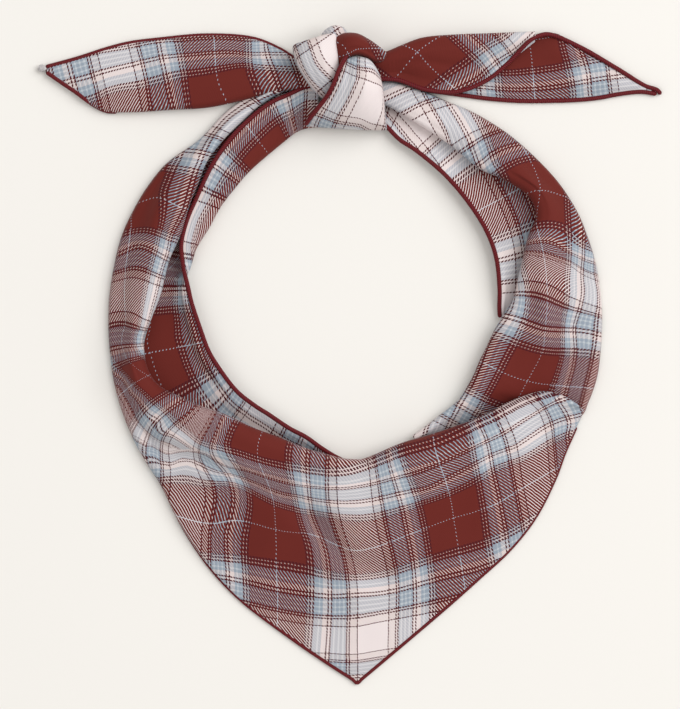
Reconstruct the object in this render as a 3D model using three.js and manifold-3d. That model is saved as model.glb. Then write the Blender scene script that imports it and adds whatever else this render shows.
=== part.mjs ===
// A plaid kerchief tied in a loop with a knot and two tails, lying flat.
// Millimetres, +Z up: it lies on z = 0 with the knot at +Y and the front point at -Y.
import * as THREE from 'three';
import Module from 'manifold-3d';

const wasm = await Module();
wasm.setup();

// Driving dimensions
const WALL = 1.0;          // thickness of every cloth wall
const GAP = 0.3;           // clear space between pieces that rest on each other
const HEM_RADIUS = 1.1;    // half the width of the rolled hem
const HEM_SIDES = 6;
const FLOOR = WALL / 2;    // middle of a wall that lies on the surface
const OVER = FLOOR + WALL + GAP + 0.1;     // middle of a wall that lies on another wall
const THREAD_RADIUS = 1.8; // the knotted thread's end at the left tail's tip

const CLOTH = { color: '#8a5a5c', roughness: 0.72, metalness: 0 };
const HEM = { color: '#6a1e22', roughness: 0.6, metalness: 0 };
const THREAD = { color: '#b9b3b6', roughness: 0.8, metalness: 0 };

// Folded sheets. Each row is one section across the cloth: the curled crest [x, y] where it is folded,
// the outer edge [x, y], the crest's height, the rise between them, the height of the outer edge's round,
// and how far the hidden lip goes back under the crest.
const SHEET_COLUMNS = ['crest', 'outer', 'height', 'swell', 'edge', 'lip'];

// The outer fold down the left side, then the crest over the front point, out to the pinch at the right.
const FRONT_FOLD = table(SHEET_COLUMNS, [
  [[-18.5, 122], [-22.5, 127.5], 5, 0.0, 3.5, 3],
  [[-30, 118.5], [-33.5, 123], 6, 0.0, 4, 3],
  [[-39.5, 113], [-44, 117.5], 7, 0.2, 4.5, 3],
  [[-49, 104.5], [-55.5, 109.5], 8, 0.5, 5, 4],
  [[-57.5, 96], [-67.5, 97], 9, 0.5, 5, 5],
  [[-64.5, 86.5], [-82, 86.5], 10, 0.8, 5, 6],
  [[-68, 77.5], [-90, 77], 11, 1.0, 5, 6],
  [[-72, 67.5], [-96.5, 66.5], 12, 1.2, 5, 6],
  [[-76, 54], [-102.5, 53.5], 12, 1.5, 5, 6],
  [[-81, 43], [-106, 39.5], 12, 1.5, 5, 6],
  [[-85, 27.5], [-108, 27], 12, 1.5, 5, 6],
  [[-89.5, 15.5], [-108.5, 15], 12, 1.0, 5, 6],
  [[-92.5, 5], [-108, 3.5], 12, 0.8, 5, 5],
  [[-90.5, -7], [-106.5, -9.5], 12, 0.8, 5, 5],
  [[-85.5, -14], [-103.5, -22], 12, 1.0, 5, 5],
  [[-77, -18.5], [-99, -34], 13, 1.0, 5, 6],
  [[-68, -22.5], [-93, -46], 13, 0.5, 5, 6],
  [[-55.5, -27], [-85, -58.5], 14, 0.0, 4.5, 7],
  [[-44, -32.5], [-77, -75], 14, -0.5, 4, 7],
  [[-32, -37], [-65, -93], 14, -1.0, 3, 8],
  [[-21, -41.5], [-50.5, -109], 14, -1.0, 2, 8],
  [[-11, -44.5], [-26.5, -127.5], 13, -1.5, 1.2, 8],
  [[-3.5, -46.5], [-9, -139.5], 13, -1.5, 1, 8],
  [[3.5, -47], [3.5, -147.5], 13, -1.5, 1, 8],
  [[11, -45], [24, -130.5], 14, -1.0, 1, 8],
  [[22.5, -40], [44.5, -113], 15, 0.0, 1.2, 8],
  [[36, -36], [58.5, -100.5], 15, 0.5, 1.4, 8],
  [[49.5, -31.5], [72, -88], 14, 0.8, 1.6, 8],
  [[60.5, -27], [83.5, -73.5], 13, 1.0, 2, 7],
  [[70, -22], [92.5, -56], 12, 1.0, 2.5, 7],
  [[78.5, -17], [98.5, -42], 11, 0.8, 3, 6],
  [[85.5, -14.5], [103.5, -28], 10, 0.6, 3.5, 5],
  [[94, -14.5], [108, -19], 9, 0.3, 4, 3],
  [[100, -13], [111.5, -11], 7, 0.0, 3.5, 2.5],
]);

// The top fold down the right side. Its crest becomes the neck opening's edge and runs in under the front.
const SIDE_FOLD_RIGHT = table(SHEET_COLUMNS, [
  [[9, 115], [7.5, 122], 5, 0.0, 3.5, 3],
  [[17.5, 112], [16.5, 123.5], 6, 0.5, 4, 3],
  [[27, 106.5], [28, 121], 7, 1.0, 4, 4],
  [[36, 101], [42, 115], 7, 1.5, 4.5, 4],
  [[47.5, 93], [57, 108.5], 7, 1.5, 5, 4],
  [[58.5, 84], [72, 99], 8, 1.5, 5, 5],
  [[69.5, 79], [84.5, 88], 10, 1.0, 5, 5],
  [[81, 71], [94.5, 77], 11, 0.8, 5, 4],
  [[84, 62.5], [102.5, 64.5], 11, 1.0, 5, 5],
  [[80.5, 53.5], [106.5, 55], 11, 1.2, 5, 6],
  [[77, 39], [111, 40.5], 11, 1.5, 5, 6],
  [[73.5, 25], [113.5, 22], 11, 1.5, 5, 7],
  [[69, 17.5], [113.5, 10.5], 11, 1.0, 5, 8],
  [[64.5, 9.5], [112, 0.5], 10, 0.5, 4, 8],
  [[61.5, 3], [108, -9], 10, -1.0, 2, 8],
  [[58.5, -3], [102, -18.5], 10, -2.0, 0.8, 7],
  [[53.5, -13.5], [88, -22.5], 9, -2.4, 0.6, 6],
  [[49, -20.5], [73, -29.5], 8, -3.4, 0.6, 5],
  [[41, -27], [55, -38], 7, -4.0, 0.6, 4],
  [[34, -32.5], [42.5, -44], 6, -4.0, 0.6, 3],
  [[28.5, -36.5], [32.5, -44.5], 5, -4.0, 0.6, 2.5],
]);

// The right tail's front layer: its crest is the tail's upper edge and its outer edge hangs over the back layer.
const TAIL_RIGHT_FLAP = table(SHEET_COLUMNS, [
  [[10, 134.5], [10, 124], 9, 0.0, 7, 2],
  [[17, 136.5], [17, 124], 9, 0.5, 7, 3],
  [[23, 139], [22.5, 123.5], 9, 1.0, 6, 4],
  [[32.5, 142.5], [34, 119.5], 9, 1.5, 5, 5],
  [[48, 144], [48, 118.5], 9, 1.0, 4, 5],
  [[61.5, 144.5], [61.5, 123.5], 8, 0.5, 3.4, 4],
  [[72, 145], [71.5, 131.5], 7, 0.3, 3.2, 3],
  [[83.5, 145.5], [83.5, 141], 5.6, 0.0, 3, 1.5],
]);

// The left tail: its crest is the lower fold and its outer edge is the hemmed upper edge.
const TAIL_LEFT = table(SHEET_COLUMNS, [
  [[-12, 120], [-12, 131], 8, 1.0, 4, 4],
  [[-22.5, 119.5], [-22.5, 131.5], 8, 1.5, 4, 5],
  [[-32, 118.5], [-31, 136.5], 8, 2.0, 3.5, 7],
  [[-49, 114.5], [-43, 141.5], 8, 1.5, 3, 9],
  [[-64, 111.5], [-64, 144], 7, 1.5, 3, 9],
  [[-81, 110.5], [-85.5, 141.5], 6, 1.5, 2.5, 8],
  [[-99, 109.5], [-99, 141], 5, 1.5, 2.2, 6],
  [[-112, 110.5], [-109, 138], 3.5, 1.5, 2, 4],
  [[-124, 118.5], [-123, 133.5], 2.8, 1.0, 1.8, 2.5],
  [[-135.5, 126.5], [-136, 129.5], 2.6, 0.0, 1.6, 1.2],
]);

// Borders of the long edge. Each row is the hem [x, y], the turned fold [x, y] and the hidden edge [x, y]
// with the heights of the hem and of the fold. Where nothing is turned over, the fold column lies
// between the hem and the hidden edge.
const BORDER_COLUMNS = ['hem', 'fold', 'hidden', 'hemHeight', 'foldHeight'];

const BORDER_LEFT = table(BORDER_COLUMNS, [
  [[-14, 121], [-14, 103], [-14, 123], 6, 3.5],
  [[-19.5, 120.5], [-20.5, 102], [-22, 122.5], 6, 3.5],
  [[-27.5, 117], [-24, 100.5], [-31, 119.5], 6, 3.5],
  [[-36, 113], [-28, 97.5], [-40, 115.5], 6.5, 3.5],
  [[-47, 104], [-36.5, 90.5], [-51.5, 107], 7, 3.5],
  [[-56, 94], [-45, 83], [-61.5, 97], 7, 3.5],
  [[-63, 83], [-51.5, 75.5], [-69.5, 85.5], 7, 3.5],
  [[-68.5, 71], [-58, 67], [-76, 73.5], 7, 3.5],
  [[-73, 60.5], [-63.5, 57], [-80.5, 62], 7, 3.5],
  [[-75.5, 49.5], [-69, 48], [-83, 50.5], 7, 3.5],
  [[-74.5, 39], [-72, 38.6], [-87.5, 41], 6.5, 3.5],
  [[-72.5, 30], [-76, 30], [-91, 29.5], 6, 4],
  [[-71, 23.5], [-75.5, 23.3], [-93, 22], 6, 4],
  [[-66.5, 10], [-72, 9.3], [-99, 5.5], 6, 4],
  [[-63.5, 2], [-69, 0.6], [-98.5, -7], 6, 4],
  [[-60, -4], [-65, -6.5], [-90.5, -19.5], 6, 4],
  [[-51, -16], [-53.5, -19.5], [-64, -32.5], 5.5, 4],
  [[-43, -22.5], [-45, -25.7], [-53, -37.5], 5, 3.8],
  [[-36, -27], [-37.8, -30], [-44, -41], 5, 3.6],
  [[-27, -33], [-28.5, -36], [-33.5, -45.5], 4.5, 3],
  [[-19.5, -37], [-20.7, -39.8], [-25, -48.5], 4, 2.4],
  [[-12.5, -42], [-13.4, -44.5], [-16.5, -52.5], 3, 1.6],
  [[-5, -46.5], [-5.6, -48.6], [-8, -55.5], 1.6, 0.8],
  [[2, -49], [2, -51], [2, -58], 1.1, 0.6],
  [[11.5, -47.5], [12, -49.5], [13.5, -56.5], 1.1, 0.6],
  [[18, -45.5], [18.8, -47.5], [21, -54], 1.1, 0.6],
]);

const BORDER_RIGHT = table(BORDER_COLUMNS, [
  [[9, 109.5], [9.3, 112], [10, 118.5], 3.5, 3.0],
  [[16.5, 103], [17.3, 105.5], [21, 115.5], 4, 3.2],
  [[22.5, 97], [24.5, 99.3], [34, 110], 4.5, 3.6],
  [[30, 92], [32.5, 94.5], [42.5, 104], 5, 4],
  [[43, 81], [46, 83.6], [56, 92], 5.5, 4],
  [[54, 68], [58, 70.4], [73, 79.5], 6, 4],
  [[62, 55], [67, 57], [88, 66], 6, 4],
  [[66, 43.5], [70.5, 44.8], [88.5, 50], 6, 4],
  [[67.5, 29.5], [71, 29.8], [84, 31], 5, 3],
  [[67.5, 20], [70, 19.6], [78, 18.5], 3, 1.6],
  [[68.5, 12], [70.5, 11.4], [76.5, 9.5], 1.1, 0.6],
]);

// The right tail's back layer: upper edge, lower edge, and the height of the rise between them.
const TAIL_RIGHT_BACK = table(['upper', 'lower', 'swell'], [
  [[12, 134], [12, 123.5], 0.3],
  [[23, 137.5], [22.5, 122.5], 0.3],
  [[32.5, 141], [34, 119.5], 0.3],
  [[48, 142.5], [48, 117.5], 0.4],
  [[61.5, 143], [63, 115.5], 0.6],
  [[72, 143.5], [76.5, 114.5], 1.0],
  [[83.5, 144], [89.5, 114.5], 2.0],
  [[92.5, 145], [103.5, 115], 3.0],
  [[104, 138.5], [113, 116], 3.0],
  [[115.5, 131.5], [121, 117.5], 2.5],
  [[130.5, 123], [131.5, 118.6], 1.2],
  [[138.5, 119.4], [138.5, 117.6], 0.4],
]);

// Turns of cloth in the knot. Each row is one oval section square to the turn's way.
const TURN_COLUMNS = ['x', 'y', 'z', 'halfWidth', 'halfHeight'];

const LOBE_FRONT = table(TURN_COLUMNS, [
  [2.2, 133.0, 21.5, 3.6, 3.0],
  [3.2, 130.0, 20.0, 6.5, 6.0],
  [4.0, 125.5, 17.0, 9.5, 9.5],
  [3.6, 118.5, 14.0, 11.8, 11.0],
  [1.6, 111.0, 11.5, 14.6, 10.4],
  [-1.2, 105.0, 9.2, 17.4, 8.6],
  [-2.0, 102.2, 8.4, 17.6, 6.4],
  [-2.2, 101.0, 8.0, 14.0, 4.0],
]);

const WRAP_LEFT = table(TURN_COLUMNS, [
  [-7.0, 146.8, 14.5, 5.0, 4.0],
  [-10.5, 143.0, 16.5, 7.6, 7.0],
  [-14.6, 137.0, 17.0, 9.4, 9.0],
  [-15.2, 129.5, 16.4, 8.6, 9.4],
  [-12.0, 121.5, 14.6, 7.6, 9.0],
  [-7.0, 115.5, 12.5, 6.4, 8.0],
  [-4.0, 112.5, 11.5, 4.0, 5.0],
]);

const LOBE_TOP = table(TURN_COLUMNS, [
  [-8.0, 146.4, 18.5, 3.0, 3.0],
  [-4.6, 143.0, 18.5, 6.4, 6.4],
  [0.5, 138.4, 17.5, 8.4, 8.6],
  [6.0, 135.6, 15.6, 8.6, 8.8],
  [11.5, 133.4, 13.0, 7.4, 8.0],
  [15.6, 131.2, 10.8, 5.0, 6.0],
  [17.4, 129.8, 9.6, 2.6, 3.6],
]);

// Turns a short table into rows whose values are named.
function table(columns, rows) {
  return rows.map(row => Object.fromEntries(columns.map((name, i) => [name, row[i]])));
}

// A point some way from one plan point towards another, at a height.
function between(a, b, distance, z) {
  const way = new THREE.Vector2(b[0] - a[0], b[1] - a[1]).normalize();
  return new THREE.Vector3(a[0] + way.x * distance, a[1] + way.y * distance, z);
}

function planDistance(a, b) {
  return Math.hypot(b[0] - a[0], b[1] - a[1]);
}

// Section of a folded sheet: hidden lip, curl round the crest, rise, and the outer edge's round.
function foldSection(row, low = OVER) {
  const wide = planDistance(row.crest, row.outer);
  const radius = Math.max((row.height - low) / 2, 0.8);
  const curl = Math.min(radius, wide * 0.3);
  const round = Math.min(row.edge, wide * 0.3);
  const at = (distance, z) => between(row.crest, row.outer, distance, z);
  const section = [at(Math.max(Math.min(row.lip, wide * 0.5), curl + 0.4), low)];
  for (const turn of [270, 225, 180, 135, 90]) {
    const angle = THREE.MathUtils.degToRad(turn);
    section.push(at(curl * (1 + Math.cos(angle)), low + radius * (1 + Math.sin(angle))));
  }
  const top = low + 2 * radius;
  for (const share of [0.22, 0.45, 0.68, 0.88]) {
    const fall = share * share * (3 - 2 * share);
    const z = THREE.MathUtils.lerp(top, row.edge, fall) + row.swell * Math.sin(Math.PI * share);
    section.push(at(THREE.MathUtils.lerp(curl, wide - round * 0.6, share), Math.max(z, FLOOR)));
  }
  section.push(at(wide - round * 0.12, Math.max(row.edge * 0.62, FLOOR)));
  section.push(at(wide, FLOOR));
  return section;
}

// Section of a front layer whose outer edge stays above a layer behind it.
function flapSection(row) {
  const section = foldSection(row, FLOOR);
  const last = section.length - 1;
  section[last].z = row.edge;
  section[last - 1].z = row.edge + 0.1;
  return section;
}

// Section of a border: hem, the turned-over part, the fold, then flat to the hidden edge.
function borderSection(row) {
  const { hem, fold, hidden, hemHeight, foldHeight } = row;
  const turned = planDistance(fold, hidden) > planDistance(hem, hidden) + 0.2;
  const reach = planDistance(fold, hidden);
  const from = (share, z) => between(hem, fold, planDistance(hem, fold) * share, Math.max(z, FLOOR));
  const inward = (distance, z) => between(fold, hidden, distance, Math.max(z, FLOOR));
  if (turned) {
    return [from(0, hemHeight), from(0.45, hemHeight + 0.3), from(0.85, hemHeight - 0.6),
      inward(0, foldHeight), inward(0.7, 1.2), inward(reach * 0.35, FLOOR),
      inward(reach * 0.7, FLOOR), inward(reach, FLOOR)];
  }
  return [from(0, hemHeight), from(0.35, hemHeight * 0.95), from(0.7, hemHeight * 0.85),
    inward(0, foldHeight), inward(reach * 0.18, foldHeight * 0.55), inward(reach * 0.4, FLOOR),
    inward(reach * 0.7, FLOOR), inward(reach, FLOOR)];
}

// Section of the right tail's back layer.
function backSection(row) {
  const wide = planDistance(row.upper, row.lower);
  return [0, 0.2, 0.4, 0.6, 0.8, 1].map(share =>
    between(row.upper, row.lower, wide * share, FLOOR + row.swell * Math.sin(Math.PI * share)));
}

// Smooths sections along the cloth: one curve through each column of points.
function smoothGrid(sections, count) {
  const columns = sections[0].map((_, j) =>
    new THREE.CatmullRomCurve3(sections.map(section => section[j]), false, 'centripetal'));
  return Array.from({ length: count }, (_, i) => columns.map(curve => {
    const point = curve.getPoint(i / (count - 1));
    point.z = Math.max(point.z, FLOOR);
    return point;
  }));
}

// Closed solid from vertices and triangles; it is turned round if it came out inside out.
function closed(vertices, triangles) {
  const build = list => new wasm.Manifold(new wasm.Mesh({
    numProp: 3,
    vertProperties: new Float32Array(vertices.flatMap(v => [v.x, v.y, v.z])),
    triVerts: new Uint32Array(list.flat()),
  }));
  const solid = build(triangles);
  return solid.volume() > 0 ? solid : build(triangles.map(([a, b, c]) => [a, c, b]));
}

// Wall of one thickness about a grid of points.
function wall(grid, thickness = WALL) {
  const rows = grid.length;
  const columns = grid[0].length;
  const normalAt = (i, j) => {
    const along = grid[Math.min(i + 1, rows - 1)][j].clone().sub(grid[Math.max(i - 1, 0)][j]);
    const across = grid[i][Math.min(j + 1, columns - 1)].clone().sub(grid[i][Math.max(j - 1, 0)]);
    return along.cross(across).normalize();
  };
  const faces = [1, -1].map(side => grid.flatMap((row, i) => row.map((point, j) => {
    const moved = point.clone().addScaledVector(normalAt(i, j), side * thickness / 2);
    moved.z = Math.max(moved.z, 0);
    return moved;
  })));
  const at = (side, i, j) => side * rows * columns + i * columns + j;
  const triangles = [];
  const quad = (a, b, c, d) => triangles.push([a, b, c], [a, c, d]);
  for (let i = 0; i < rows - 1; i++) {
    for (let j = 0; j < columns - 1; j++) {
      quad(at(0, i, j), at(0, i + 1, j), at(0, i + 1, j + 1), at(0, i, j + 1));
      quad(at(1, i, j), at(1, i, j + 1), at(1, i + 1, j + 1), at(1, i + 1, j));
    }
    quad(at(0, i, 0), at(1, i, 0), at(1, i + 1, 0), at(0, i + 1, 0));
    quad(at(0, i, columns - 1), at(0, i + 1, columns - 1), at(1, i + 1, columns - 1), at(1, i, columns - 1));
  }
  for (let j = 0; j < columns - 1; j++) {
    quad(at(0, 0, j), at(0, 0, j + 1), at(1, 0, j + 1), at(1, 0, j));
    quad(at(0, rows - 1, j), at(1, rows - 1, j), at(1, rows - 1, j + 1), at(0, rows - 1, j + 1));
  }
  return closed(faces.flat(), triangles);
}

// Full turn of cloth in the knot, lofted through oval sections.
function turn(rows, grow = 0) {
  const around = 12;
  const spine = new THREE.CatmullRomCurve3(rows.map(r => new THREE.Vector3(r.x, r.y, r.z)), false, 'centripetal');
  const size = new THREE.CatmullRomCurve3(rows.map(r => new THREE.Vector3(r.halfWidth, r.halfHeight, 0)), false,
    'centripetal');
  const count = 11;
  const vertices = [];
  for (let i = 0; i < count; i++) {
    const t = i / (count - 1);
    const middle = spine.getPoint(t);
    const way = spine.getTangent(t);
    const side = new THREE.Vector3(way.y, -way.x, 0).normalize();
    const up = side.clone().cross(way).normalize();
    if (up.z < 0) up.negate();
    const half = size.getPoint(t);
    if (i === 0) middle.addScaledVector(way, -grow);
    if (i === count - 1) middle.addScaledVector(way, grow);
    for (let k = 0; k < around; k++) {
      const angle = (k / around) * Math.PI * 2;
      const point = middle.clone()
        .addScaledVector(side, Math.cos(angle) * (half.x + grow))
        .addScaledVector(up, Math.sin(angle) * (half.y + grow));
      point.z = Math.max(point.z, grow > 0 ? -grow : 0);
      vertices.push(point);
    }
  }
  const triangles = [];
  for (let i = 0; i < count - 1; i++) {
    for (let k = 0; k < around; k++) {
      const a = i * around + k;
      const b = i * around + (k + 1) % around;
      triangles.push([a, b, b + around], [a, b + around, a + around]);
    }
  }
  for (const [ring, flip] of [[0, false], [count - 1, true]]) {
    for (let k = 1; k < around - 1; k++) {
      const cap = [ring * around, ring * around + k + 1, ring * around + k];
      triangles.push(flip ? [cap[0], cap[2], cap[1]] : cap);
    }
  }
  return closed(vertices, triangles);
}

// Solid of a three.js geometry.
function solidOf(geometry) {
  const flat = geometry.index ? geometry.toNonIndexed() : geometry;
  const source = flat.getAttribute('position');
  const seen = new Map();
  const vertices = [];
  const index = [];
  for (let i = 0; i < source.count; i++) {
    const point = new THREE.Vector3().fromBufferAttribute(source, i);
    const key = point.toArray().map(value => Math.round(value * 1000)).join(' ');
    if (!seen.has(key)) {
      seen.set(key, vertices.length);
      vertices.push(point);
    }
    index.push(seen.get(key));
  }
  const triangles = [];
  for (let i = 0; i < index.length; i += 3) triangles.push([index[i], index[i + 1], index[i + 2]]);
  return closed(vertices, triangles);
}

// Rolled hem along a list of points.
function hem(points, steps, grow = 0) {
  const path = new THREE.CatmullRomCurve3(points.map(p => new THREE.Vector3(p.x, p.y,
    Math.max(p.z, HEM_RADIUS + 0.05))), false, 'centripetal');
  const radius = HEM_RADIUS + grow;
  const section = new THREE.Shape(Array.from({ length: HEM_SIDES }, (_, k) => {
    const angle = (k / HEM_SIDES) * Math.PI * 2;
    return new THREE.Vector2(Math.cos(angle) * radius, Math.sin(angle) * radius);
  }));
  return solidOf(new THREE.ExtrudeGeometry(section, { steps, extrudePath: path }));
}

// Largest single body of a solid after cutting the others away from it.
function cut(solid, ...others) {
  const left = others.reduce((rest, other) => rest.subtract(other), solid);
  return left.decompose().sort((a, b) => b.volume() - a.volume())[0];
}

const edgeOf = (grid, column, from = 0, to = grid.length) =>
  grid.slice(from, to).map(row => row.at(column));

// Knot
const knotHemPoints = [[-1.6, 133.5, 23.5], [-3.6, 130.5, 24.2], [-6.6, 124, 22.0], [-9.6, 117.5, 17.5],
  [-14.6, 110.5, 12.0], [-19.4, 104.5, 8.0]].map(p => new THREE.Vector3(...p));
const knotHem = hem(knotHemPoints, 10);
const knotHemRoom = hem(knotHemPoints, 10, GAP);
const lobeFront = cut(turn(LOBE_FRONT), knotHemRoom);
const lobeFrontRoom = turn(LOBE_FRONT, GAP);
const wrapLeft = cut(turn(WRAP_LEFT), lobeFrontRoom, knotHemRoom);
const wrapLeftRoom = turn(WRAP_LEFT, GAP);
const lobeTop = cut(turn(LOBE_TOP), lobeFrontRoom, wrapLeftRoom, knotHemRoom);
const lobeTopRoom = turn(LOBE_TOP, GAP);
const knotRoom = [lobeFrontRoom, wrapLeftRoom, lobeTopRoom, knotHemRoom];

// Sheets round the neck opening
const frontGrid = smoothGrid(FRONT_FOLD.map(row => foldSection(row)), 52);
const sideGrid = smoothGrid(SIDE_FOLD_RIGHT.map(row => foldSection(row)), 30);
const borderLeftGrid = smoothGrid(BORDER_LEFT.map(borderSection), 36);
const borderRightGrid = smoothGrid(BORDER_RIGHT.map(borderSection), 18);

// Tails
const tailLeftGrid = smoothGrid(TAIL_LEFT.map(row => foldSection(row, FLOOR)), 16);
const tailFlapGrid = smoothGrid(TAIL_RIGHT_FLAP.map(flapSection), 12);
const tailBackGrid = smoothGrid(TAIL_RIGHT_BACK.map(backSection), 15);

// Hems along the free edges. A row number of a table is turned into the row of its smoothed grid.
const gridRow = (tableRow, tableRows, grid) => Math.round(tableRow / (tableRows - 1) * (grid.length - 1));
const tip = gridRow(23, FRONT_FOLD.length, frontGrid);
const legStart = gridRow(18, FRONT_FOLD.length, frontGrid);
const legEnd = gridRow(31, FRONT_FOLD.length, frontGrid);
const HEMS = {
  hem_neck_left: [edgeOf(borderLeftGrid, 0, 0, 33), 28],
  hem_neck_right: [edgeOf(borderRightGrid, 0, 0, 17), 16],
  hem_point_left: [edgeOf(frontGrid, -1, legStart, tip), 9],
  hem_point_right: [edgeOf(frontGrid, -1, tip, legEnd + 1), 14],
  hem_tail_left: [edgeOf(tailLeftGrid, -1), 14],
  hem_tail_left_end: [edgeOf(tailLeftGrid, 3, gridRow(7, TAIL_LEFT.length, tailLeftGrid)), 4],
  hem_tail_right_front: [edgeOf(tailFlapGrid, -1, 0, 11), 10],
  hem_tail_right_back: [edgeOf(tailBackGrid, -1), 14],
};
const hemRoom = Object.values(HEMS).map(([points, steps]) => hem(points, steps, GAP));
const thread = solidOf(new THREE.SphereGeometry(THREAD_RADIUS, 8, 6).translate(-138.5, 129.2, THREAD_RADIUS));
const threadRoom = solidOf(new THREE.SphereGeometry(THREAD_RADIUS + GAP, 8, 6)
  .translate(-138.5, 129.2, THREAD_RADIUS));

// Room that a sheet needs where another passes under or over it
const roomOf = grid => wall(grid, WALL + 2 * GAP);
const frontRoom = roomOf(frontGrid);
const sideRoom = roomOf(sideGrid);
const borderLeftRoom = roomOf(borderLeftGrid);

const pieces = [
  ['front_fold', cut(wall(frontGrid), ...hemRoom, ...knotRoom), CLOTH],
  ['side_fold_right', cut(wall(sideGrid), frontRoom, ...hemRoom, ...knotRoom), CLOTH],
  ['neck_border_left', cut(wall(borderLeftGrid), frontRoom, ...hemRoom, ...knotRoom), CLOTH],
  ['neck_border_right', cut(wall(borderRightGrid), sideRoom, ...hemRoom, ...knotRoom), CLOTH],
  ['knot_lobe_front', lobeFront, CLOTH],
  ['knot_wrap_left', wrapLeft, CLOTH],
  ['knot_lobe_top', lobeTop, CLOTH],
  ['tail_left', cut(wall(tailLeftGrid), frontRoom, borderLeftRoom, ...hemRoom, ...knotRoom, threadRoom), CLOTH],
  ['tail_right', cut(wall(tailFlapGrid).add(wall(tailBackGrid)), sideRoom, ...hemRoom, ...knotRoom), CLOTH],
  ['thread_end', thread, THREAD],
  ['hem_knot', knotHem, HEM],
];
for (const [name, [points, steps]] of Object.entries(HEMS)) {
  pieces.push([name, cut(hem(points, steps), ...knotRoom, threadRoom), HEM]);
}

// Mesh of a solid, with its own material.
function meshOf(name, solid, look) {
  const { vertProperties, triVerts, numProp } = solid.getMesh();
  const geometry = new THREE.BufferGeometry();
  const positions = new Float32Array(triVerts.length * 3);
  triVerts.forEach((vertex, i) => {
    for (let k = 0; k < 3; k++) positions[i * 3 + k] = vertProperties[vertex * numProp + k];
  });
  geometry.setAttribute('position', new THREE.BufferAttribute(positions, 3));
  geometry.computeVertexNormals();
  const mesh = new THREE.Mesh(geometry, new THREE.MeshStandardMaterial(look));
  mesh.name = name;
  return mesh;
}

const scarf = new THREE.Group();
for (const [name, solid, look] of pieces) scarf.add(meshOf(name, solid, look));

// The frame's origin is the middle of the bounding box's bottom.
const box = new THREE.Box3().setFromObject(scarf, true);
const middle = box.getCenter(new THREE.Vector3());
for (const mesh of scarf.children) mesh.position.set(-middle.x, -middle.y, -box.min.z);

export default scarf;
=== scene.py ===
"""A plaid kerchief tied in a loop, lying flat with its knot at the back and its point in front."""

import math

import bmesh
import bpy
import numpy as np
from bpy.props import FloatProperty, FloatVectorProperty, PointerProperty
from bpy.types import Operator, Panel, PropertyGroup
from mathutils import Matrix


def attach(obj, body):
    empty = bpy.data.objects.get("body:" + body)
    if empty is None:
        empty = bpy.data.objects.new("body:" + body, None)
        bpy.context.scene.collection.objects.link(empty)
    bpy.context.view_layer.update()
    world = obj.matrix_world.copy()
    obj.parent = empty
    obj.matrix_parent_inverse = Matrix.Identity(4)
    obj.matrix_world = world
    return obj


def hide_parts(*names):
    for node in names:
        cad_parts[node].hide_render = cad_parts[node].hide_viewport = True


bl_info = {
    "name": "Tied Plaid Kerchief",
    "version": (1, 0, 0),
    "blender": (4, 5, 0),
    "location": "3D View > Sidebar > Kerchief",
    "description": "Builds a plaid kerchief tied in a loop with a knot and two tails",
    "category": "Add Mesh",
}

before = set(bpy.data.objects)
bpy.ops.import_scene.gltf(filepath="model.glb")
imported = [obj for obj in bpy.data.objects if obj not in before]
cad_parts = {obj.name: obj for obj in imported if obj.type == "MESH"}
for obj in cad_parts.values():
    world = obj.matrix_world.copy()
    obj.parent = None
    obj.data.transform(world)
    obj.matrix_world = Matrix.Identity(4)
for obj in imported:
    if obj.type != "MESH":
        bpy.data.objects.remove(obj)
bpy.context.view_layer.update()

# The plan: the size of a photo pixel, the pixel at its middle, and its shift to the frame's origin
PIXEL_MM = 0.45
PLAN_MIDDLE = (349.5, 355.0)
FRAME_SHIFT_MM = (0.82, -1.74)
PHOTO_SIZE = (680, 709)

# Heights of the cloth's middle in millimetres: the least one, a hidden lip that lies over a border, and
# the least one in the knot
FLOOR_MM = 0.5
OVER_MM = 1.9
KNOT_FLOOR_MM = 0.3


def linear(hex_colour):
    """Linear colour of an sRGB hex value."""
    parts = [int(hex_colour[i:i + 2], 16) / 255 for i in (1, 3, 5)]
    return tuple(c / 12.92 if c <= 0.04045 else ((c + 0.055) / 1.055) ** 2.4 for c in parts)


def table(columns, rows):
    """Rows whose values are named by their columns."""
    return [dict(zip(columns, row)) for row in rows]


# A fold's section: its curl and its edge's round take at most this share of its width, and a lip half
# of it. The edge's round comes down through shares of its own size and height, and the rise between
# them stops at a share of that round.
ROUND_SHARE = 0.3
LIP_SHARE = 0.5
LIP_PAST_CURL_MM = 0.4
LEAST_CURL_MM = 0.8
CURL_POINTS = 9
RISE_FROM, RISE_TO = 0.08, 0.92
RISE_POINTS = 12
RISE_STOPS = 0.6
EDGE_ROUND = ((0.3, 0.88), (0.12, 0.62), (0.03, 0.3))

# How far a flap's edge stays above the edge's own height
FLAP_LIFT_MM = 0.1

# A border's top from its hem to its fold, as shares of the way. Turned over on top it is some millimetres
# above or below the hem's height, and otherwise a share of it. Under the fold the cloth goes back flat.
TURNED_OVER_MM = 0.2
TURNED_TOP = ((0, 0), (0.45, 0.3), (0.85, -0.6))
LAID_TOP = ((0, 1), (0.35, 0.95), (0.7, 0.85))
UNDER_FOLD_MM = (0.7, 1.2)
UNDER_LAID_FOLD = (0.18, 0.55)
BACK_POINTS = 9

# Shares of a sheet's columns: the crest's top, a place well down its shown side, and the part with creases
CREST_COLUMN = 0.4
OUTWARD_COLUMN = 0.45
CREASED_FROM, CREASED_TO = 0.38, 0.86
CREASE_FADE = 0.06
CREASE_POINTS = 24
CREASE_END_POWER = 0.7

# Each row is the curled crest, the outer edge, the crest's height, the rise between them,
# the height of the outer edge's round, and how far the hidden lip goes back, in millimetres.
SHEET_COLUMNS = ("crest", "outer", "height", "swell", "edge", "lip")

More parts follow.
